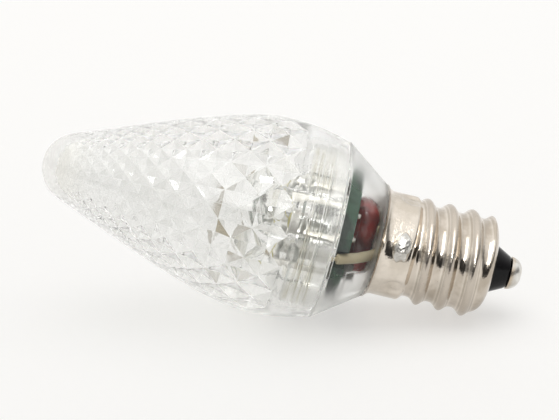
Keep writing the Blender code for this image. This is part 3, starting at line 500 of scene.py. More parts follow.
lensSize = {
    "length": 31.6, "radius": 10.75, "widest": -7.0, "rimRadius": 9.75, "rimRounding": 0.08, "tipRadius": 3.8,
    "flankSlope": 0.392, "flankPulls": (0.378, 0.2), "rimSlope": -0.3, "rimPull": 1.8,
    "wall": 1.2, "tipWall": 1.3, "bandRadius": 9.35, "bandLength": 4.4, "smoothLength": 1.1, "bandStep": 0.5,
    "facetMargin": 3.4, "cellsRound": 18, "stretch": 1.11, "pyramid": 0.52, "heightFall": 1.4, "land": 0.04,
    "seed": 7, "edgeRounding": 0.11, "edgeAngle": 9, "sharpAngle": 35, "sides": 144, "startTurn": -4.3,
    "ballPoints": 16, "flankPoints": 44, "shoulderPoints": 24, "tipRings": 8,
    "marks": {"seed": 4, "spacing": (0.09, 0.3), "depth": 0.014},
}


def turningMarks(start, end, marks):
    # points along an outline that is finely ridged, as turned moulds leave it
    random.seed(marks["seed"])
    points = [start]
    length = abs(end[0] - start[0])
    done = random.uniform(*marks["spacing"])
    while done < length - marks["spacing"][0]:
        t = done / length
        points.append((start[0] + (end[0] - start[0]) * t,
                       start[1] + (end[1] - start[1]) * t + random.uniform(-1, 1) * marks["depth"]))
        done += random.uniform(*marks["spacing"])
    return points + [end]


def bezierPoints(points, count):
    return [(point.x, point.y) for point in interpolate_bezier(*(Vector(point) for point in points), count)]


def lensOutline(size):
    # ball at the tip, long flank, round shoulder down to the seam
    widest, radius, rim = size["widest"], size["radius"], size["rimRadius"]
    ballEnd = math.degrees(math.atan2(1, size["flankSlope"]))
    ball = arcPoints((size["tipRadius"] - size["length"], 0), (size["tipRadius"],) * 2, 180, 180 - ballEnd,
                     size["ballPoints"])
    ball[0] = (-size["length"], 0)
    startStation, startRadius = ball[-1]
    first, second = (pull * (widest - startStation) for pull in size["flankPulls"])
    flank = bezierPoints([ball[-1], (startStation + first, startRadius + first * size["flankSlope"]),
                          (widest - second, radius), (widest, radius)], size["flankPoints"])
    shoulder = bezierPoints([(widest, radius), (widest / 2, radius),
                             (-size["rimPull"], rim - size["rimPull"] * size["rimSlope"]), (0, rim)],
                            size["shoulderPoints"])
    return ball + flank[1:] + shoulder[1:]


def radiusAt(outline, station):
    for (s1, r1), (s2, r2) in zip(outline, outline[1:]):
        if s1 <= station <= s2:
            return r1 + (r2 - r1) * (station - s1) / (s2 - s1)
    return outline[-1][1]


def latticeRows(outline, size):
    # stations of the diamond corners, each row half a diamond apart
    station, rows = -(size["bandLength"] + size["bandStep"]), []
    while station > size["facetMargin"] - size["length"]:
        radius = radiusAt(outline, station) - size["wall"]
        rows.append((station, radius))
        station -= size["stretch"] * math.pi * radius / size["cellsRound"]
    return rows


def lensCage(size):
    # closed solid with flat diamonds inside; each diamond carries how far its pyramid rises
    outline = lensOutline(size)
    corners, sides = size["cellsRound"] * 2, size["sides"]
    shape = bmesh.new()
    raised = shape.faces.layers.float.new("raised")
    rows = latticeRows(outline, size)
    last = len(rows) - 1
    edge, band = size["rimRounding"], size["bandRadius"]
    rim = [(-edge, size["rimRadius"]), (0, size["rimRadius"] - edge), (0, band + edge), (-edge, band),
           *turningMarks((-size["smoothLength"], band), (-size["bandLength"], band), size["marks"])]
    rim += turningMarks(rim[-1], rows[0], size["marks"])[1:-1]
    rings = [addRing(shape, radius * mm, station * mm, sides) for station, radius in outline[:-1] + rim]
    joinAll(shape, rings)
    lattice = []
    for row, (station, radius) in enumerate(rows):
        ring = [shape.verts.new(turnPoint(radius * mm, 2 * math.pi * (i + 0.5) / corners, station * mm))
                if row in (0, last) or i % 2 == row % 2 else None for i in range(corners)]
        lattice.append(ring)
    joinRings(shape, rings[-1], lattice[0])
    for row in range(last + 1):
        for i in range(corners):
            if i % 2 == row % 2:
                continue
            left, right = lattice[row][i - 1], lattice[row][(i + 1) % corners]
            if row in (0, last):
                inward = lattice[1 if row == 0 else last - 1][i]
                shape.faces.new((left, lattice[row][i], right, inward))
                continue
            face = shape.faces.new((left, lattice[row - 1][i], right, lattice[row + 1][i]))
            face[raised] = (rows[row][1] / size["radius"]) ** size["heightFall"]
    endStation, endRadius = rows[last]
    depth = size["length"] - size["tipWall"] + endStation
    tipRings = [lattice[last]]
    for step in range(1, size["tipRings"] + 1):
        angle = math.pi / 2 * step / size["tipRings"]
        radius = endRadius * math.cos(angle) if step < size["tipRings"] else 0
        tipRings.append(addRing(shape, radius * mm, (endStation - depth * math.sin(angle)) * mm, sides))
    joinAll(shape, tipRings)
    bmesh.ops.recalc_face_normals(shape, faces=shape.faces)
    return meshFrom("lensCage", shape)


def newGeometryTree(name, inputs):
    tree = bpy.data.node_groups.new(name, "GeometryNodeTree")
    tree.interface.new_socket("Geometry", in_out="INPUT", socket_type="NodeSocketGeometry")
    for label, value in inputs.items():
        tree.interface.new_socket(label, in_out="INPUT", socket_type="NodeSocketFloat").default_value = value
    tree.interface.new_socket("Material", in_out="INPUT", socket_type="NodeSocketMaterial")
    tree.interface.new_socket("Geometry", in_out="OUTPUT", socket_type="NodeSocketGeometry")
    return tree, tree.nodes.new("NodeGroupInput"), tree.nodes.new("NodeGroupOutput")


def closeGeometryTree(tree, start, end, geometry):
    realize = addNode(tree, "GeometryNodeRealizeInstances", values={0: geometry})
    paint = addNode(tree, "GeometryNodeSetMaterial", values={
        "Geometry": realize.outputs[0], "Material": start.outputs["Material"]})
    fillInputs(tree, end, {0: paint.outputs[0]})


def runGeometryTree(mesh, tree, values, material):
    # result of the tree on the mesh, as a plain mesh
    holder = newObject("holder", mesh)
    modifier = holder.modifiers.new("shape", "NODES")
    modifier.node_group = tree
    for socket in tree.interface.items_tree:
        if socket.in_out == "INPUT" and socket.name in values:
            modifier[socket.identifier] = float(values[socket.name])
        elif socket.name == "Material":
            modifier[socket.identifier] = material
    bpy.context.view_layer.update()
    evaluated = holder.evaluated_get(bpy.context.evaluated_depsgraph_get())
    result = bpy.data.meshes.new_from_object(evaluated)
    holder.modifiers.remove(modifier)
    bpy.data.objects.remove(holder)
    return result


def facetTree(values):
    # every diamond rises to a blunt pyramid, and each of its facets gets a tone of its own
    tree, start, end = newGeometryTree("raisedFacets", values)
    raised = addNode(tree, "GeometryNodeInputNamedAttribute", {"data_type": "FLOAT"}, {"Name": "raised"})
    amount = raised.outputs[0]
    extrude = addNode(tree, "GeometryNodeExtrudeMesh", {"mode": "FACES"}, {
        "Mesh": start.outputs["Geometry"], "Selection": addMath(tree, "GREATER_THAN", amount, 0.01),
        "Offset Scale": multiply(tree, amount, start.outputs["Height"]), "Individual": True})
    top, side = extrude.outputs["Top"], extrude.outputs["Side"]
    shrink = addNode(tree, "GeometryNodeScaleElements", {"domain": "FACE"}, {
        "Geometry": extrude.outputs["Mesh"], "Selection": top, "Scale": start.outputs["Land"]})
    facets = addNode(tree, "FunctionNodeBooleanMath", {"operation": "OR"}, {0: top, 1: side})
    chance = addNode(tree, "FunctionNodeRandomValue", {"data_type": "FLOAT"}, {"Seed": start.outputs["Seed"]})
    store = addNode(tree, "GeometryNodeStoreNamedAttribute", {"data_type": "FLOAT", "domain": "FACE"}, {
        "Geometry": shrink.outputs[0], "Selection": facets.outputs[0], "Name": "tone",
        "Value": chance.outputs[1]})
    closeGeometryTree(tree, start, end, store.outputs[0])
    return tree


def roundEdges(mesh, width, angle):
    # small round on the sharp edges only; the faces of the rounds are marked as ridges
    shape = bmesh.new()
    shape.from_mesh(mesh)
    shape.normal_update()
    ridge = shape.faces.layers.float.new("ridge")
    tone = shape.faces.layers.float.get("tone")
    least = math.radians(angle)
    edges = [edge for edge in shape.edges if edge.is_manifold and edge.calc_face_angle() > least]
    for face in bevelEdges(shape, edges, width, segments=2)["faces"]:
        face[ridge] = 1
        face[tone] = 0
    shape.to_mesh(mesh)
    shape.free()


def buildLens(size, material):
    values = {"Height": size["pyramid"] * mm, "Land": size["land"], "Seed": size["seed"]}
    mesh = runGeometryTree(lensCage(size), facetTree(values), values, material)
    roundEdges(mesh, size["edgeRounding"] * mm, size["edgeAngle"])
    mesh.transform(Matrix.Rotation(math.radians(size["startTurn"]), 4, "Z"))
    smoothMesh(mesh, size["sharpAngle"])
    placePiece("facetedLens", mesh, [material], ["lens"])
    print("lens done:", len(mesh.polygons), "faces")


buildLens(lensSize, clearPlastic("lensPlastic", lensLook))


housingLook = {
    "colour": (0.97, 0.97, 0.965), "shade": (0.93, 0.93, 0.92), "roughness": 0.03, "ior": 1.22,
    "clear": 0.99, "shine": 0.8, "mottleScale": 160.0, "scuffScale": 260.0, "scuffs": 0.4,
    "scuffRoughness": 0.15, "wave": 0.05 * mm,
    "shadowTint": (0.96, 0.96, 0.95), "escapeTint": (0.97, 0.97, 0.965), "escapeDepth": 6,
    "streakColour": (0.55, 0.52, 0.40), "streakPlace": (-4.1, -3.5, -1.5, -1.2), "streakClouds": (0.3, 0.9),
    # the end colour is painted shade that greys the cone towards the shell's rim
    "lines": 3.2, "lineBreak": 0.9, "endPaintedShade": (0.86, 0.85, 0.83), "endPlace": (3.8, 5.0),
    "haze": 0.4, "hazePlace": (4.4, 5.1), "hazeInside": (12.0, 11.0),
    "frost": 0.42, "frostFacing": (0.2, 0.55),
}
housingSize = {
    "end": 5.2, "endRadius": 6.35, "wall": 0.5, "seamGap": 0.1, "flangeRadius": 9.75, "coneStart": 0.3,
    "spigotRadius": 8.75, "spigotLength": 4.0, "spigotBore": 7.95, "spigotEdge": 0.25,
    "grooves": (-2.9, -1.7), "grooveHalf": 0.18, "grooveFloorHalf": 0.09, "grooveDepth": 0.15,
    "ribStation": 2.35, "ribLength": 0.8, "ribStep": 0.05, "ribWidth": 0.7, "ribHalfTurn": math.radians(16),
    "neckWide": 5.17, "neckNarrow": 4.78, "neckBore": 4.03, "skirtEnd": 8.7, "neckEnd": 13.2,
    "endInside": (5.15, 5.02, 4.97), "flangeInside": (0.5, 0.42, 0.36), "cornerInside": 0.5, "sides": 144,
    "marks": {"seed": 9, "spacing": (0.1, 0.36), "depth": 0.01},
}


def insideCone(size, station):
    # radius inside the cone's wall
    fall = (size["flangeRadius"] - size["endRadius"]) / (size["end"] - size["coneStart"])
    return size["flangeRadius"] - fall * (station - size["coneStart"]) - size["wall"] * math.hypot(1, fall)


def spigotOutline(size):
    start, radius, edge = -size["spigotLength"], size["spigotRadius"], size["spigotEdge"]
    half, floorHalf, floor = size["grooveHalf"], size["grooveFloorHalf"], radius - size["grooveDepth"]
    points = [(start, radius - edge), (start + edge, radius)]
    for groove in size["grooves"]:
        points += [(groove - half, radius), (groove - floorHalf, floor), (groove + floorHalf, floor),
                   (groove + half, radius)]
    marked = [point for first, last in zip(points, points[1:])
              for point in turningMarks(first, last, size["marks"])[:-1]]
    return [(start, size["spigotBore"]), *marked, points[-1]]


def buildHousing(size, material):
    seam, flange, end, endRadius = size["seamGap"], size["flangeRadius"], size["end"], size["endRadius"]
    outside = [(seam, size["spigotRadius"]), (seam, flange - 0.1), (seam + 0.12, flange),
               (end - 0.3, endRadius + 0.06), (end - 0.06, endRadius - 0.1), (end, endRadius - 0.3),
               (end, size["neckWide"]), (size["skirtEnd"], size["neckWide"]),
               (size["skirtEnd"] + 0.6, size["neckNarrow"]), (size["neckEnd"], size["neckNarrow"])]
    bore, corner = size["neckBore"], size["cornerInside"]
    neckStart, neckCorner, coneEnd = size["endInside"]
    coneStart, coneCorner, spigotEnd = size["flangeInside"]
    rib, ribEnd = size["ribStation"], size["ribStation"] + size["ribLength"]
    inside = [(size["neckEnd"], bore), (neckStart, bore), (neckCorner, bore + corner),
              (coneEnd, insideCone(size, coneEnd)), (ribEnd, insideCone(size, ribEnd) - size["ribStep"]),
              (rib, insideCone(size, rib) - size["ribStep"]), (rib, insideCone(size, rib)),
              (coneStart, insideCone(size, coneStart)), (coneCorner, size["spigotBore"] + corner),
              (spigotEnd, size["spigotBore"])]
    shape = turnedShape(scaled(spigotOutline(size) + outside + inside), size["sides"], closed=True)
    tolerance = 1e-6
    for vertex in shape.verts:
        # three parts of the step inside the cone are drawn in as ribs that carry the board
        station = min((rib, ribEnd), key=lambda value: abs(value * mm - vertex.co.z))
        stepRadius = (insideCone(size, station) - size["ribStep"]) * mm
        radius = math.hypot(vertex.co.x, vertex.co.y)
        if abs(vertex.co.z - station * mm) > tolerance or abs(radius - stepRadius) > tolerance:
            continue
        away = math.remainder(math.atan2(vertex.co.y, vertex.co.x) - math.pi / 3, 2 * math.pi / 3)
        if abs(away) < size["ribHalfTurn"]:
            vertex.co.xy *= (stepRadius - size["ribWidth"] * mm) / radius
    mesh = shapeToMesh("clearHousing", shape, sharp=25)
    placePiece("clearHousing", mesh, [material], ["housing"])


buildHousing(housingSize, clearPlastic("housingPlastic", housingLook))
print("housing done")


shellLook = {
    "colour": (0.77, 0.705, 0.625), "shade": (0.62, 0.56, 0.48), "roughness": 0.09, "mottleScale": 420.0,
    "scuffScale": 420.0, "scuffs": 0.6, "scuffRoughness": 0.18, "wave": 0.045 * mm,
    "lines": 9.0, "lineBreak": 0.8, "lineDepth": 0.006 * mm,
    # the darkening in the thread's valleys is partly painted shade, and the flanks carry painted shade
    "grimeAndShade": 0.4, "grimeAndShadeRadius": (5.13, 5.26), "grimeAndShadeColour": (0.27, 0.21, 0.15),
    "rimDarkLine": 0.85, "edgeStation": (5.42, 5.56), "flank": 0.35, "flankRadius": (5.26, 5.34, 5.42, 5.5),
    "crestRadius": (5.46, 5.6), "crestStation": (9.0, 9.4), "crestColour": (0.57, 0.51, 0.44),
    "crestRoughness": 0.1,
}
shellSize = {
    "start": 5.3, "rimFlare": 0.53, "rimLength": 0.85, "skirtRadius": 5.72, "skirtEnd": 8.7,
    "threadStart": 9.5, "threadEnd": 17.1, "end": 18.35, "valleyRadius": 5.13, "depth": 0.67, "pitch": 2.54,
    "firstCrest": 10.1, "crestShape": 1.5, "wall": 0.25, "holeRadius": 2.85, "sides": 180,
    "rimRings": 6, "skirtRings": 10, "threadRings": 84, "endRings": 10,
    "dimpleStation": 8.1, "dimpleRadius": 1.4, "dimpleDepth": 0.34, "dimpleFloor": 0.55, "dimpleEnd": 10.1,
    "dimpleMiddle": 0.75, "firstDimple": math.radians(-57),
}


def smoothStep(low, high, value):
    t = min(max((value - low) / (high - low), 0), 1)
    return t * t * (3 - 2 * t)


def shellOutline(size, inset):
    # flared rim, plain skirt, the level of the thread's valleys, and the curled end
    start, skirt, rimEnd = size["start"], size["skirtRadius"], size["start"] + size["rimLength"]
    skirtEnd, threadEnd = size["skirtEnd"], size["threadEnd"]
    outline = []
    for step in range(size["rimRings"] + 1):
        along = step / size["rimRings"]
        outline.append((start + size["rimLength"] * along, skirt + size["rimFlare"] * (1 - along) ** 2))
    for step in range(1, size["skirtRings"] + 1):
        outline.append((rimEnd + (skirtEnd - rimEnd) * step / size["skirtRings"], skirt))
    for step in range(1, size["threadRings"] + 1):
        station = skirtEnd + (threadEnd - skirtEnd) * step / size["threadRings"]
        level = smoothStep(skirtEnd, size["threadStart"], station)
        outline.append((station, skirt + (size["valleyRadius"] - skirt) * level))
    outline = [(station, radius - inset) for station, radius in outline]
    # the end curls in to the hole; its first point is the thread's last one
    curl = arcPoints((threadEnd, size["holeRadius"]),
                     (size["end"] - threadEnd - inset, outline[-1][1] - size["holeRadius"]), 90, 0,
                     size["endRings"])
    return outline + curl[1:]


def threadTree(values):
    # pushes the shell out along a right-hand helix
    tree, start, end = newGeometryTree("rolledThread", values)
    given = start.outputs
    place = addNode(tree, "GeometryNodeInputPosition").outputs[0]
    x, y, z = addNode(tree, "ShaderNodeSeparateXYZ", values={0: place}).outputs
    turn = addMath(tree, "MULTIPLY_ADD", addMath(tree, "ARCTAN2", y, x), -0.5 / math.pi, 0.5)
    along = addMath(tree, "DIVIDE", addMath(tree, "SUBTRACT", z, given["First Crest"]), given["Pitch"])
    wave = addMath(tree, "COSINE", multiply(tree, addMath(tree, "ADD", along, turn), 2 * math.pi))
    # a hair under a half, so that no power of a negative number is taken
    lifted = addMath(tree, "MULTIPLY_ADD", wave, 0.4999, 0.5)
    crest = addMath(tree, "POWER", lifted, given["Crest Shape"])
    fades = addBand(tree, z, *(given[key] for key in ("Fade Start", "Full Start", "Full End", "Fade End")))
    push = multiply(tree, crest, given["Depth"], fades)
    flat = addNode(tree, "ShaderNodeCombineXYZ", values={0: x, 1: y})
    outward = addNode(tree, "ShaderNodeVectorMath", {"operation": "NORMALIZE"}, {0: flat.outputs[0]})
    offset = addNode(tree, "ShaderNodeVectorMath", {"operation": "SCALE"}, {
        0: outward.outputs[0], "Scale": push})
    move = addNode(tree, "GeometryNodeSetPosition", values={
        "Geometry": given["Geometry"], "Offset": offset.outputs[0]})
    closeGeometryTree(tree, start, end, move.outputs[0])
    return tree


def buildShell(size, material):
    outline = shellOutline(size, 0) + shellOutline(size, size["wall"])[::-1]
    base = turnedMesh("shellBase", outline, size["sides"], sharp=60, closed=True)
    values = {
        "Pitch": size["pitch"] * mm, "Depth": size["depth"] * mm, "First Crest": size["firstCrest"] * mm,
        "Fade Start": size["skirtEnd"] * mm, "Full Start": size["threadStart"] * mm,
        "Full End": size["threadEnd"] * mm, "Fade End": size["end"] * mm, "Crest Shape": size["crestShape"],
    }
    mesh = runGeometryTree(base, threadTree(values), values, material)
    for vertex in mesh.vertices:
        # three crimp dimples with a firm edge
        station = vertex.co.z / mm
        if not size["start"] < station < size["dimpleEnd"]:
            continue
        turn = math.atan2(vertex.co.y, vertex.co.x)
        away = math.remainder(turn - size["firstDimple"], 2 * math.pi / 3) * size["skirtRadius"]
        distance = math.hypot(away, station - size["dimpleStation"]) / size["dimpleRadius"]
        depth = size["dimpleDepth"] * (1 - smoothStep(size["dimpleFloor"], 1.0, distance))
        depth *= size["dimpleMiddle"] + (1 - size["dimpleMiddle"]) * distance
        vertex.co.xy *= 1 - depth * mm / math.hypot(vertex.co.x, vertex.co.y)
    smoothMesh(mesh, sharp=50)
    placePiece("rolledScrewShell", mesh, [material], ["screw_shell"])


buildShell(shellSize, platedMetal("nickelPlate", shellLook))
print("screw shell done")


solderLook = {
    "colour": (0.74, 0.73, 0.70), "shade": (0.52, 0.50, 0.46), "roughness": 0.16, "mottleScale": 900.0,
    "scuffScale": 700.0, "scuffs": 0.7, "scuffRoughness": 0.3, "wave": 0.12 * mm,
}
solderSize = {
    "station": 7.7, "turn": math.radians(-108.7), "halfLength": 1.05, "halfWidth": 1.6, "height": 0.9,
    "sunk": 0.08, "skirtRadius": 5.72, "lumps": 0.16, "lumpScale": 1.7, "bumps": 0.12, "bumpScale": 2.6,
    "fullness": 0.8, "around": 56, "rows": 18,
}


def buildSideSolder(size, material):
    # lumpy dome whose foot follows the skirt
    shape = bmesh.new()
    rings = []
    for row in range(size["rows"] + 1):
        t = row / size["rows"]
        spread = math.cos(t * math.pi / 2) ** size["fullness"] if row < size["rows"] else 0
        height = size["height"] * math.sin(t * math.pi / 2) - size["sunk"]
        ring = []
        for i in range(size["around"] if spread else 1):
            angle = 2 * math.pi * i / size["around"]
            way = Vector((math.cos(angle), math.sin(angle)))
            lump = 1 + size["lumps"] * noise.noise(Vector((*way * size["lumpScale"], t * 2)))
            along = size["halfLength"] * spread * way.x * lump
            across = size["halfWidth"] * spread * way.y * lump
            bumpPlace = Vector((along * size["bumpScale"], across * size["bumpScale"], 3.1))
            bump = size["bumps"] * noise.noise(bumpPlace)
            rise = height + bump * t - across ** 2 / (2 * size["skirtRadius"])
            ring.append(shape.verts.new(Vector((along, across, rise)) * mm))
        rings.append(ring)
    joinAll(shape, rings)
    shape.faces.new(rings[0])
    outward = turnPoint(1, size["turn"], 0)
    along = Vector((0, 0, 1))
    turned = Matrix((along, outward.cross(along), outward)).transposed().to_4x4()
    place = Matrix.Translation(outward * size["skirtRadius"] * mm + along * size["station"] * mm) @ turned
    mesh = shapeToMesh("skirtSolder", shape, sharp=60, place=place)
    placePiece("skirtSolder", mesh, [material], ["side_solder"])


solder = platedMetal("solderMetal", solderLook)
buildSideSolder(solderSize, solder)


insulatorLook = {
    "colour": (0.006, 0.006, 0.007), "shade": (0.012, 0.011, 0.012), "worn": (0.05, 0.045, 0.04),
    "roughness": 0.14, "mottleScale": 500.0, "scuffScale": 420.0, "scuffs": 0.4, "scuffRoughness": 0.2,
    "wave": 0.03 * mm, "shine": 0.16,
}
insulatorSize = {
    "shellEnd": 18.35, "length": 1.9, "holeRadius": 2.7, "smallRadius": 1.77, "bore": 0.75, "inside": 0.45,
    "flange": 1.0, "flangeRadius": 3.88, "rounding": 0.15, "sides": 96,
}
contactLook = {
    "colour": (0.80, 0.79, 0.76), "shade": (0.60, 0.57, 0.52), "roughness": 0.16, "mottleScale": 700.0,
    "scuffScale": 520.0, "scuffs": 0.7, "scuffRoughness": 0.25, "wave": 0.05 * mm,
    "grimeAndShadeRadius": (1.84, 1.68), "grimeAndShade": 0.6, "grimeAndShadeColour": (0.42, 0.26, 0.09),
}
contactSize = {
    "base": 20.35, "height": 1.4, "radius": 1.8, "flat": 0.6, "stem": 0.42, "stemLength": 4.1, "sides": 72,
}


def buildInsulator(size, material):
    # flange inside the shell, waist in its hole, and the cone outside
    inside, end = size["shellEnd"] - size["inside"], size["shellEnd"] + size["length"]
    flange, hole = size["flange"], size["holeRadius"]
    outline = [(inside - flange, size["bore"]), (inside - flange, size["flangeRadius"]),
               (inside - flange / 2, size["flangeRadius"]), (inside, hole + 0.5), (inside, hole),
               (size["shellEnd"] + 0.1, hole), (end, size["smallRadius"]), (end, size["bore"])]
    outline = roundCorners(outline, size["rounding"])
    mesh = turnedMesh("blackInsulator", outline, size["sides"], sharp=50, closed=True)
    placePiece("blackInsulator", mesh, [material], ["insulator"])


def buildContact(size, material):
    # stem into the insulator, and a dome with a flat top
    base, stem, radius = size["base"], size["stem"], size["radius"]
    dome = arcPoints((base, size["flat"]), (size["height"], radius - size["flat"]), 90, 0, count=14)
    outline = [(base - size["stemLength"], stem), (base, stem), (base, radius - 0.12), (base + 0.08, radius)]
    outline += dome[1:]
    mesh = turnedMesh("centreContact", outline, size["sides"], sharp=45)
    placePiece("centreContact", mesh, [material], ["contact_tip"])


buildInsulator(insulatorSize, solidPlastic("insulatorPlastic", insulatorLook))
buildContact(contactSize, platedMetal("contactMetal", contactLook))
print("base end done")


ledLook = {
    "colour": (0.98, 0.98, 0.97), "shade": (0.95, 0.95, 0.93), "roughness": 0.015, "ior": 1.53, "clear": 0.97,
    "mottleScale": 220.0, "scuffScale": 300.0, "scuffs": 0.3, "scuffRoughness": 0.1, "wave": 0.02 * mm,
    "shadowTint": (0.95, 0.95, 0.93), "escapeTint": (0.98, 0.98, 0.975), "escapeDepth": 7,
}
ledSize = {
    "count": 3, "circle": 4.4, "stand": 0.15, "radius": 2.5, "height": 8.6, "flangeRadius": 2.9,
    "flangeHeight": 1.0, "flangeFlat": 2.62, "leadSpacing": 2.54, "leadWidth": 0.5, "foot": 1.85,
    "cupHeight": 4.8, "cupWidth": 1.9, "cupDepth": 1.6, "cupSlope": 0.4, "plateRounding": 0.06,
    "phosphorRadius": 0.6, "phosphorHeight": 0.3, "bondWire": 0.035,
}
leadLook = {
    "colour": (0.8, 0.79, 0.77), "shade": (0.68, 0.66, 0.62), "roughness": 0.34, "mottleScale": 900.0,
    "scuffScale": 700.0, "scuffs": 0.6, "scuffRoughness": 0.2, "wave": 0.02 * mm,
}
phosphorLook = {
    "colour": (0.74, 0.68, 0.22), "shade": (0.66, 0.58, 0.16), "worn": (0.82, 0.78, 0.4), "roughness": 0.45,
    "mottleScale": 2500.0, "scuffScale": 2000.0, "scuffs": 0.4, "scuffRoughness": 0.2, "wave": 0.05 * mm,
}


def ledMatrix(size, number):
    turn = 2 * math.pi * number / size["count"]
    return (Matrix.Translation(turnPoint(size["circle"], turn, size["stand"]) * mm)
            @ Matrix.Rotation(turn, 4, "Z") @ Matrix.Rotation(math.pi, 4, "X"))


def ledBodyShape(size):
    # round body with a domed top, and a flange that is flat on one side
    flange, height, radius = size["flangeRadius"], size["flangeHeight"], size["radius"]
    outline = [(0, flange - 0.1), (0.1, flange), (height - 0.1, flange), (height, flange - 0.1),
               (height, radius + 0.05), (height + 0.08, radius)]
    outline += arcPoints((size["height"] - radius, 0), (radius, radius), 90, 0, count=16)
    outline[-1] = (size["height"], 0)
    shape = turnedShape(scaled(outline), sides=72)
    for vertex in shape.verts:
        vertex.co.y = max(vertex.co.y, -size["flangeFlat"] * mm)
    return shape


def plateShape(size, corners):
    # flat lead-frame piece from (across, up) corners in mm, with softened edges
    half = size["leadWidth"] / 2
    shape = bmesh.new()
    sides = [[shape.verts.new(Vector((x, across, up)) * mm) for across, up in corners] for x in (-half, half)]
    shape.faces.new(sides[0])
    shape.faces.new(sides[1][::-1])
    for i in range(len(corners)):
        j = (i + 1) % len(corners)
        shape.faces.new((sides[0][j], sides[0][i], sides[1][i], sides[1][j]))
    bmesh.ops.recalc_face_normals(shape, faces=shape.faces)
    bevelEdges(shape, list(shape.edges), size["plateRounding"] * mm, segments=2)
    return shape


def leadEdges(size):
    # inner and outer edge of a lead, from the LED's middle
    return (size["leadSpacing"] - size["leadWidth"]) / 2, (size["leadSpacing"] + size["leadWidth"]) / 2


def cathodeMesh(size):
    # post with a round reflector cup on top
    near, far = leadEdges(size)
    top, half = size["cupHeight"], size["cupWidth"] / 2
    floor = top - size["cupDepth"]
    middle = half - far
    post = plateShape(size, [(-far, -size["foot"]), (-near, -size["foot"]), (-near, floor - size["cupSlope"]),
                             (middle + 0.35, floor - 0.1), (middle + 0.35, floor + 0.2), (-far, floor + 0.2)])
    cup = [(floor, 0), (floor, 0.62), (floor + 0.25, 0.78), (top - 0.5, half - 0.04), (top - 0.05, half),
           (top, half - 0.05), (top, half - 0.14), (top - 0.55, 0.45), (top - 0.55, 0)]
    cup = turnedMesh("cup", cup, sides=36, sharp=35, place=Matrix.Translation((0, middle * mm, 0)))
    return joinMeshes("ledCathode", [(shapeToMesh("post", post, sharp=35), 0), (cup, 0)]), middle


def anodeShape(size):
    near, far = leadEdges(size)
    top, floor = size["cupHeight"], size["cupHeight"] - size["cupDepth"]
    return plateShape(size, [(near, -size["foot"]), (far, -size["foot"]), (far, top), (near - 0.25, top),
                             (near - 0.25, top - 0.45), (near, floor)])


def phosphorMesh(size, middle):
    # drop of phosphor in the cup, and the bond wire to the anode
    top = size["cupHeight"]
    edge, height = top - 0.12, size["phosphorHeight"]
    outline = [(top - 0.5, 0.5)] + arcPoints((edge, 0), (height, size["phosphorRadius"]), 90, 0, count=8)
    outline[-1] = (edge + height, 0)
    drop = turnedMesh("drop", outline, sides=36, sharp=40, place=Matrix.Translation((0, middle * mm, 0)))
    wirePoints = ((middle, top), (middle + 0.5, top + 0.75), (0.75, top + 0.55), (1.1, top - 0.05))
    path = smoothPath([Vector((0, across, up)) * mm for across, up in wirePoints], steps=6)
    wire = shapeToMesh("wire", tubeShape(path, [size["bondWire"] * mm] * len(path), sides=8), sharp=40)
    return joinMeshes("ledPhosphor", [(drop, 0), (wire, 1)])


def buildLeds(size, plastic, lead, phosphor, gold):
    for number in range(size["count"]):
        place = ledMatrix(size, number)
        node = f"led_{number + 1}"
        name = f"led{number + 1}"
        body = shapeToMesh(f"{name}Body", ledBodyShape(size), sharp=35, place=place)
        placePiece(f"{name}Body", body, [plastic], [node])
        cathode, middle = cathodeMesh(size)
        cathode.transform(place)
        placePiece(f"{name}Cathode", cathode, [lead], [f"{node}_cathode"])
        anode = shapeToMesh(f"{name}Anode", anodeShape(size), sharp=35, place=place)
        placePiece(f"{name}Anode", anode, [lead], [f"{node}_anode"])
        drop = phosphorMesh(size, middle)
        drop.transform(place)
        placePiece(f"{name}Phosphor", drop, [phosphor, gold], [f"{node}_phosphor"])


tinned = platedMetal("tinnedLead", leadLook)
gold = platedMetal("bondWireGold", dict(leadLook, colour=(0.9, 0.68, 0.3), shade=(0.8, 0.58, 0.25)))
buildLeds(ledSize, clearPlastic("ledEpoxy", ledLook), tinned, solidPlastic("phosphor", phosphorLook), gold)
print("leds done")


jointSize = {
    "radius": 0.55, "height": 0.42, "pin": 0.25, "pinHeight": 0.6, "station": 2.05, "sides": 32,
    "wobble": 0.14, "wobbleScale": 1.3,
}


def jointMesh(size, seed):
    # solder cone that creeps up a cut lead, each a little different
    radius, pin, pinHeight = size["radius"], size["pin"], size["pinHeight"]
    outline = [(0, radius), (0.06, radius), (0.16, 0.8 * radius), (0.34, 0.6 * radius), (0.58, 0.47 * radius),
               (size["height"], 0.42 * radius), (pinHeight - 0.05, 0.8 * pin), (pinHeight, 0.5 * pin)]
    shape = turnedShape(scaled(outline), size["sides"])
    for vertex in shape.verts:
        place = vertex.co / mm * size["wobbleScale"] + Vector((seed * 7.3, 0, 0))
        vertex.co.xy *= 1 + size["wobble"] * noise.noise(place)
    return shapeToMesh("joint", shape, sharp=60)


def buildJoints(size, led, material):
    number = 0
    for index in range(led["count"]):
        turn = 2 * math.pi * index / led["count"]
        for side, way in (("anode", -1), ("cathode", 1)):
            number += 1
            place = turnPoint(led["circle"], turn, size["station"])
            place += way * turnPoint(led["leadSpacing"] / 2, turn + math.pi / 2, 0)
            mesh = jointMesh(size, number)
            mesh.transform(Matrix.Translation(place * mm))
            placePiece(f"solderJoint{number}", mesh, [material], [f"led_{index + 1}_{side}_solder"])


buildJoints(jointSize, ledSize, solder)


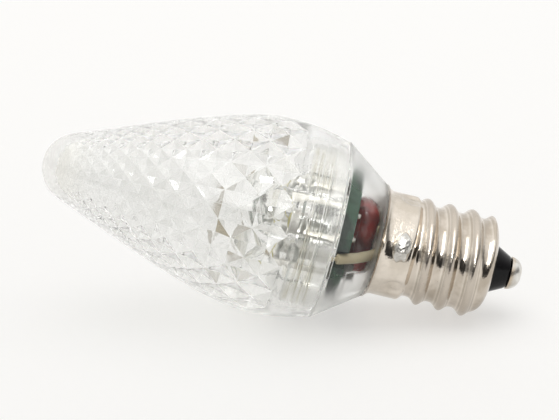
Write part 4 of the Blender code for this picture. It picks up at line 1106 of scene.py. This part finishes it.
capacitorLook = {
    "colour": (0.5, 0.03, 0.02), "shade": (0.14, 0.010, 0.008), "worn": (0.3, 0.08, 0.06),
    "roughness": 0.3, "mottleScale": 420.0, "scuffScale": 300.0, "scuffs": 0.3, "scuffRoughness": 0.2,
    "wave": 0.18 * mm, "coat": 1.0, "shine": 0.0,
}
capacitorSize = {
    "low": (-4.1, -2.55, 2.25), "high": (3.6, 2.55, 4.95), "rounding": 1.15, "leadPlaces": (-2.75, 2.25),
    "leadRadius": 0.25, "leadStart": 0.5, "skirt": 0.1, "longEdge": 1.2, "cuts": 9, "thinning": 0.01,
    "lumps": 0.07, "lumpScale": 0.7,
}


def buildCapacitor(size, material, lead):
    low, high = Vector(size["low"]), Vector(size["high"])
    shape = blockShape(low * mm, high * mm, size["rounding"] * mm, segments=5)
    longEdges = [edge for edge in shape.edges if edge.calc_length() > size["longEdge"] * mm]
    bmesh.ops.subdivide_edges(shape, edges=longEdges, cuts=size["cuts"], use_grid_fill=True)
    middle = (low + high) / 2 * mm
    for vertex in shape.verts:
        # dipped coating: a little thinner along the middle, with a soft unevenness
        offset = vertex.co - middle
        thinning = size["thinning"] * mm * (1 - (2 * offset.x / (high.x - low.x) / mm) ** 2)
        lump = size["lumps"] * mm * noise.noise(vertex.co / mm * size["lumpScale"])
        vertex.co += offset.normalized() * (lump - thinning)
    mesh = shapeToMesh("dippedCapacitor", shape, sharp=70)
    placePiece("dippedCapacitor", mesh, [material], ["film_capacitor"])
    start, radius = size["leadStart"], size["leadRadius"]
    outline = [(start, radius * 0.6), (start + 0.1, radius), (low.z - size["skirt"], radius),
               (low.z - 0.12, radius * 1.25), (low.z + 0.15, radius * 2)]
    for number, across in enumerate(size["leadPlaces"], 1):
        mesh = turnedMesh("lead", outline, sides=24, sharp=50, place=Matrix.Translation((across * mm, 0, 0)))
        placePiece(f"capacitorLead{number}", mesh, [lead], [f"capacitor_lead_{number}"])


buildCapacitor(capacitorSize, solidPlastic("dippedRed", capacitorLook), tinned)


chipLook = {
    "colour": (0.15, 0.14, 0.125), "shade": (0.19, 0.18, 0.16), "worn": (0.26, 0.25, 0.23), "roughness": 0.32,
    "mottleScale": 900.0, "scuffScale": 700.0, "scuffs": 0.4, "scuffRoughness": 0.2, "wave": 0.05 * mm,
}
stripeLook = dict(chipLook, colour=(0.55, 0.55, 0.53), shade=(0.47, 0.47, 0.45), worn=(0.3, 0.3, 0.29))
# length, width and height of each kind of chip, and the stations of their feet on either side of the board
chipSize = {
    "diode": (2.0, 1.3, 0.95), "resistor": (2.6, 1.4, 0.55), "diodeEnd": 0.3, "resistorEnd": 0.4,
    "circle": 5.25, "front": 0.15, "back": 2.35,
}


def chipMesh(kind, size):
    # length along X, standing up from the board; dark body, tinned ends, and a stripe on a diode
    length, width, height = size[kind]
    half, side, end = length / 2, width / 2, size[kind + "End"]
    blocks = [((-half + end * 0.6, -side, 0.06), (half - end * 0.6, side, height), 0.06, 0),
              ((-half, -side * 0.8, 0), (end - half, side * 0.8, height * 0.55), 0.04, 1),
              ((half - end, -side * 0.8, 0), (half, side * 0.8, height * 0.55), 0.04, 1)]
    if kind == "diode":
        stripeLow, stripeHigh = (-half + 0.38, -side - 0.005, 0.3), (-half + 0.6, side + 0.005, height + 0.01)
        blocks.append((stripeLow, stripeHigh, 0.004, 2))
    parts = []
    for low, high, rounding, number in blocks:
        shape = blockShape(Vector(low) * mm, Vector(high) * mm, rounding * mm)
        parts.append((shapeToMesh("part", shape, sharp=40), number))
    return joinMeshes("chip", parts)


def buildChips(size, materials):
    up, down = Matrix.Rotation(math.pi, 4, "X"), Matrix()
    circle, front, back = size["circle"], size["front"], size["back"]
    # turns of the chips between the LEDs; the second one is a little off the middle of its gap
    gapTurn, offTurn = math.pi / 3, -0.93 * math.pi / 3
    places = {
        "diode_1": (turnPoint(circle, gapTurn, front), gapTurn + math.pi / 2, up),
        "diode_2": (turnPoint(circle, offTurn, front), offTurn + math.pi / 2, up),
        "diode_3": (Vector((2.71, 3.53, back)), 0, down),
        "diode_4": (Vector((2.71, -3.53, back)), 0, down),
        "resistor_1": (turnPoint(circle, math.pi, front), math.pi / 2, up),
        "resistor_2": (Vector((0, 0, front)), math.pi / 2, up),
    }
    for node, (place, turn, way) in places.items():
        kind, number = node.split("_")
        mesh = chipMesh(kind, size)
        mesh.transform(Matrix.Translation(place * mm) @ Matrix.Rotation(turn, 4, "Z") @ way)
        placePiece(f"{kind}Chip{number}", mesh, materials, [node])


buildChips(chipSize, [solidPlastic("chipBody", chipLook), tinned, solidPlastic("chipStripe", stripeLook)])
print("board parts done")


wireLook = {
    "colour": (0.80, 0.71, 0.50), "shade": (0.70, 0.60, 0.38), "worn": (0.52, 0.42, 0.24), "roughness": 0.33,
    "mottleScale": 500.0, "scuffScale": 420.0, "scuffs": 0.4, "scuffRoughness": 0.2, "wave": 0.04 * mm,
    "coat": 0.2,
}
wireSize = {"sleeve": 0.56, "core": 0.22, "steps": 7, "cut": 0.12, "cutRadius": 0.86}
# radius, turn in degrees and station of each point
shellWire = {
    "route": [(7.0, -86, 1.0), (6.9, -86, 1.3), (6.32, -86, 2.15), (5.5, -86, 3.3), (4.3, -86.5, 4.6),
              (3.4, -91, 5.70), (3.17, -96, 6.45)],
    "start": [(5.79, -80.3, -0.29), (6.6, -83.2, 0.3)],
    "end": [(3.62, -106, 7.62), (4.5, -108.7, 7.7), (5.3, -108.7, 7.7)],
}
# the bulb's own X, Y and Z of each point
centreWire = {
    "route": [(-0.2, 3.44, 2.25), (-0.2, 3.44, 4.75), (0.3, 1.8, 7.4), (0.6, -0.5, 10.7), (0, 0, 14.95),
              (0, 0, 15.2)],
    "start": [(-0.2, 3.44, 0.5)], "end": [(0, 0, 16.05)],
}


def buildWire(name, size, route, materials, node):
    # insulated sleeve with turned-in cut ends, and bare strands at both ends
    start, middle, end = ([point * mm for point in route[key]] for key in ("start", "route", "end"))
    path = smoothPath(middle, size["steps"])
    first, last = path[0], path[-1]
    cut = size["cut"]
    path = [first, first + (path[1] - first) * cut, *path[1:-1], last + (path[-2] - last) * cut, last]
    radii = [size["sleeve"] * mm] * len(path)
    radii[0] = radii[-1] = size["sleeve"] * size["cutRadius"] * mm
    parts = [(shapeToMesh("sleeve", tubeShape(path, radii, sides=28), sharp=45), 0)]
    for points in ([*start, *middle[:2]], [*middle[-2:], *end]):
        strands = smoothPath(points, size["steps"])
        core = tubeShape(strands, [size["core"] * mm] * len(strands), sides=14)
        parts.append((shapeToMesh("core", core, sharp=45), 1))
    placePiece(name, joinMeshes(name, parts), materials, [node])


def buildWires(materials):
    turned = {key: [turnPoint(radius, math.radians(turn), station) for radius, turn, station in points]
              for key, points in shellWire.items()}
    buildWire("shellWire", wireSize, turned, materials, "shell_lead")
    straight = {key: [Vector(point) for point in points] for key, points in centreWire.items()}
    buildWire("centreWire", wireSize, straight, materials, "centre_lead")


buildWires([solidPlastic("creamInsulation", wireLook), tinned])
print("wires done")


boardLook = {
    "colour": (0.008, 0.065, 0.03), "cloudGain": 1.25, "trace": (0.018, 0.11, 0.05), "roughness": 0.22,
    "front": (0.3, 0.38, 0.32), "frontTrace": (0.36, 0.42, 0.34), "frontPlace": (0.52, 0.56),
    "edge": (0.028, 0.075, 0.042), "edgeDarkPatch": (0.004, 0.014, 0.008), "edgeDarkClouds": (0.25, 0.75),
    "edgePlace": (0.5, 0.55, 1.95, 2.0), "edgeRoughness": 0.4,
    "mottleScale": 350.0, "grain": 0.3, "relief": 0.04 * mm,
    "traceWidth": 0.42, "traceEdge": 0.06, "tracePitch": 1.35, "traceBend": 0.25, "gaps": 5.0,
    "gapEdges": (-0.3, -0.2),
}


def boardMaterial(look):
    # solder mask over copper tracks that run in broken rings, pale front, glass-fibre edge
    material, tree, shader = newMaterial("greenBoard", look["colour"], look["roughness"])
    space = useGroup(tree, bulbSpaceGroup).outputs
    mottle = useGroup(tree, mottleGroup, Scale=look["mottleScale"]).outputs
    bend = addMath(tree, "MULTIPLY_ADD", mottle["Height"], look["traceBend"], space["Radius"])
    ring, half = addMath(tree, "PINGPONG", bend, look["tracePitch"] / 2), look["traceWidth"] / 2
    spokes = addMath(tree, "SINE", multiply(tree, space["Turn"], look["gaps"]))
    tracks = multiply(tree, addRange(tree, ring, half, half + look["traceEdge"], 1.0, 0.0),
                      addRange(tree, spokes, *look["gapEdges"]))
    lighter = tuple(channel * look["cloudGain"] for channel in look["colour"])
    colour = mixColours(tree, mottle["Mask"], look["colour"], lighter)
    colour = mixColours(tree, tracks, colour, look["trace"])
    edge = addBand(tree, space["Station"], *look["edgePlace"])
    # the edge darkens in cloudy patches
    darkPatches = addRange(tree, mottle["Mask"], *look["edgeDarkClouds"])
    patchedEdge = mixColours(tree, darkPatches, look["edge"], look["edgeDarkPatch"])
    colour = mixColours(tree, edge, colour, patchedEdge)
    front = addRange(tree, space["Station"], *look["frontPlace"], 1.0, 0.0)
    colour = mixColours(tree, front, colour, mixColours(tree, tracks, look["front"], look["frontTrace"]))
    rough = addMath(tree, "MULTIPLY_ADD", edge, look["edgeRoughness"], look["roughness"])
    fillInputs(tree, shader, {"Base Color": colour, "Roughness": rough})
    height = addMath(tree, "MULTIPLY_ADD", mottle["Height"], look["grain"], tracks)
    addBump(tree, shader, height, look["relief"])
    return material


board = bpy.data.objects["circuit_board"]
for slot in board.material_slots:
    slot.material = boardMaterial(boardLook)
print("board done")


stageLook = {
    "floorSize": 3.0, "floorColour": (0.5, 0.497, 0.49), "floorRoughness": 0.55, "floorShine": 0.15,
    "floorGlow": 0.52, "glowColour": (1.0, 0.99, 0.97), "floorGrain": 900.0, "grainDetail": 4.0,
    "grainDepth": 0.02 * mm, "grainShade": 0.985,
    "worldColour": (1.0, 0.996, 0.985), "worldWhite": 0.97, "worldLight": 0.42,
    "ceiling": 0.35, "ceilingPlace": (0.15, 0.75), "overhead": 1.2, "overheadPlace": (0.5, 0.9),
    "sideShade": 0.75, "sideBack": (-0.1, 0.6), "sideHeight": (0.3, 0.5),
    "lamps": {
        "overheadBox": {"place": (0.0, 0.12, 0.6), "size": (0.8, 0.6), "power": 2.2, "mirrored": False},
        "frontBox": {"place": (-0.03, -0.29, 0.41), "size": (0.36, 0.5), "power": 1.0, "mirrored": True},
        "nearLamp": {"place": (0.03, -0.29, 0.15), "size": (0.022, 0.022), "power": 0.2, "mirrored": True},
        "highLamp": {"place": (0.02, -0.25, 0.43), "size": (0.09, 0.07), "power": 0.3, "mirrored": True},
    },
    "darkCard": {"width": 0.066, "height": 0.032, "place": (0.02, -0.045, 0.0105), "lean": 12.0,
                 "colour": (0.012, 0.012, 0.013)},
}
cameraLook = {
    "place": (0.034, -223.708, 93.034), "turn": (69.9948, -0.7423, 0.4), "focalPixels": 2200.0,
    "photoWidth": 559,
}


def seenMask(tree):
    # 1 where the camera sees it straight, mirrored or through clear plastic, and 0 where it only gives light
    path = addNode(tree, "ShaderNodeLightPath").outputs
    seen = addMath(tree, "MAXIMUM", path["Is Camera Ray"], path["Is Glossy Ray"])
    return addMath(tree, "MAXIMUM", seen, path["Is Transmission Ray"])


def buildFloor(look):
    # table top that is seen a little lighter than it is lit, and keeps the bulb's shadow
    half = look["floorSize"] / 2
    corners = [(-half, -half, 0), (half, -half, 0), (half, half, 0), (-half, half, 0)]
    mesh = bpy.data.meshes.new("tableTop")
    mesh.from_pydata(corners, [], [(0, 1, 2, 3)])
    floor = newObject("tableTop", mesh)
    material, tree, shader = newMaterial("whiteTable", look["floorColour"], look["floorRoughness"])
    grain = addNoise(tree, objectCoords(tree), look["floorGrain"], look["grainDetail"])
    darker = tuple(channel * look["grainShade"] for channel in look["floorColour"])
    fillInputs(tree, shader, {"Base Color": mixColours(tree, grain, darker, look["floorColour"]),
                              "Specular IOR Level": look["floorShine"]})
    addBump(tree, shader, grain, look["grainDepth"])
    strength = multiply(tree, seenMask(tree), look["floorGlow"])
    glow = addNode(tree, "ShaderNodeEmission", values={
        "Color": (*look["glowColour"], 1), "Strength": strength})
    both = addNode(tree, "ShaderNodeAddShader", values={0: shader.outputs[0], 1: glow.outputs[0]})
    fillInputs(tree, tree.nodes["Material Output"], {"Surface": both.outputs[0]})
    mesh.materials.append(material)


def buildWorld(look):
    # even studio light; metal mirrors a dark room behind the camera and a brighter overhead,
    # and what is seen through clear plastic has a darker ceiling
    world = bpy.data.worlds.new("studio")
    bpy.context.scene.world = world
    world.use_nodes = True
    tree = world.node_tree
    coords = addNode(tree, "ShaderNodeTexCoord").outputs["Generated"]
    _, back, up = addNode(tree, "ShaderNodeSeparateXYZ", values={0: coords}).outputs
    path = addNode(tree, "ShaderNodeLightPath").outputs
    ceiling = addRange(tree, up, *look["ceilingPlace"], 1.0, 1.0 - look["ceiling"])
    through = multiply(tree, path["Is Transmission Ray"], ceiling)
    low = addRange(tree, up, *look["sideHeight"], 1.0, 0.0)
    room = multiply(tree, addRange(tree, back, *look["sideBack"], look["sideShade"], 0.0), low)
    overhead = addRange(tree, up, *look["overheadPlace"], 1.0, look["overhead"])
    mirrored = multiply(tree, path["Is Glossy Ray"], addMath(tree, "SUBTRACT", overhead, room))
    white = addMath(tree, "MAXIMUM", addMath(tree, "MAXIMUM", through, mirrored), path["Is Camera Ray"])
    lit = multiply(tree, addMath(tree, "SUBTRACT", 1.0, seenMask(tree)), look["worldLight"])
    fillInputs(tree, tree.nodes["Background"], {
        "Color": (*look["worldColour"], 1),
        "Strength": addMath(tree, "MULTIPLY_ADD", white, look["worldWhite"], lit)})


def buildLamps(look):
    # one lamp lights the floor and the bulb, and the others are only mirrored in it
    for name, lamp in look["lamps"].items():
        data = bpy.data.lights.new(name, "AREA")
        data.energy = lamp["power"]
        data.shape = "RECTANGLE"
        data.size, data.size_y = lamp["size"]
        piece = newObject(name, data)
        piece.location = lamp["place"]
        piece.rotation_euler = (-Vector(lamp["place"])).to_track_quat("-Z", "Y").to_euler()
        piece.visible_glossy = lamp["mirrored"]
        piece.visible_diffuse = not lamp["mirrored"]


def buildDarkCard(card):
    # dark disc in front of the bulb that only the metal mirrors, as it does in the photo
    shape = bmesh.new()
    bmesh.ops.create_circle(shape, cap_ends=True, segments=48, radius=0.5)
    turn = Matrix.Rotation(math.pi / 2 - math.radians(card["lean"]), 4, "X")
    stretch = Matrix.Diagonal((card["width"], card["height"], 1, 1))
    bmesh.ops.transform(shape, verts=shape.verts, matrix=Matrix.Translation(card["place"]) @ turn @ stretch)
    mesh = meshFrom("darkCard", shape)
    piece = newObject("darkCard", mesh)
    mesh.materials.append(newMaterial("darkCard", card["colour"], roughness=0.6)[0])
    piece.visible_camera = False
    piece.visible_shadow = False
    piece.visible_diffuse = False
    piece.visible_transmission = False


def buildCamera(look):
    data = bpy.data.cameras.new("camera")
    data.sensor_width = 36.0
    data.lens = look["focalPixels"] * data.sensor_width / look["photoWidth"]
    data.clip_start = 0.01
    camera = newObject("camera", data)
    camera.location = Vector(look["place"]) * mm
    camera.rotation_euler = [math.radians(angle) for angle in look["turn"]]
    bpy.context.scene.camera = camera


buildFloor(stageLook)
buildWorld(stageLook)
buildLamps(stageLook)
buildDarkCard(stageLook["darkCard"])
buildCamera(cameraLook)
bpy.context.scene.view_settings.view_transform = "Standard"
print("stage, lamps and camera ready")
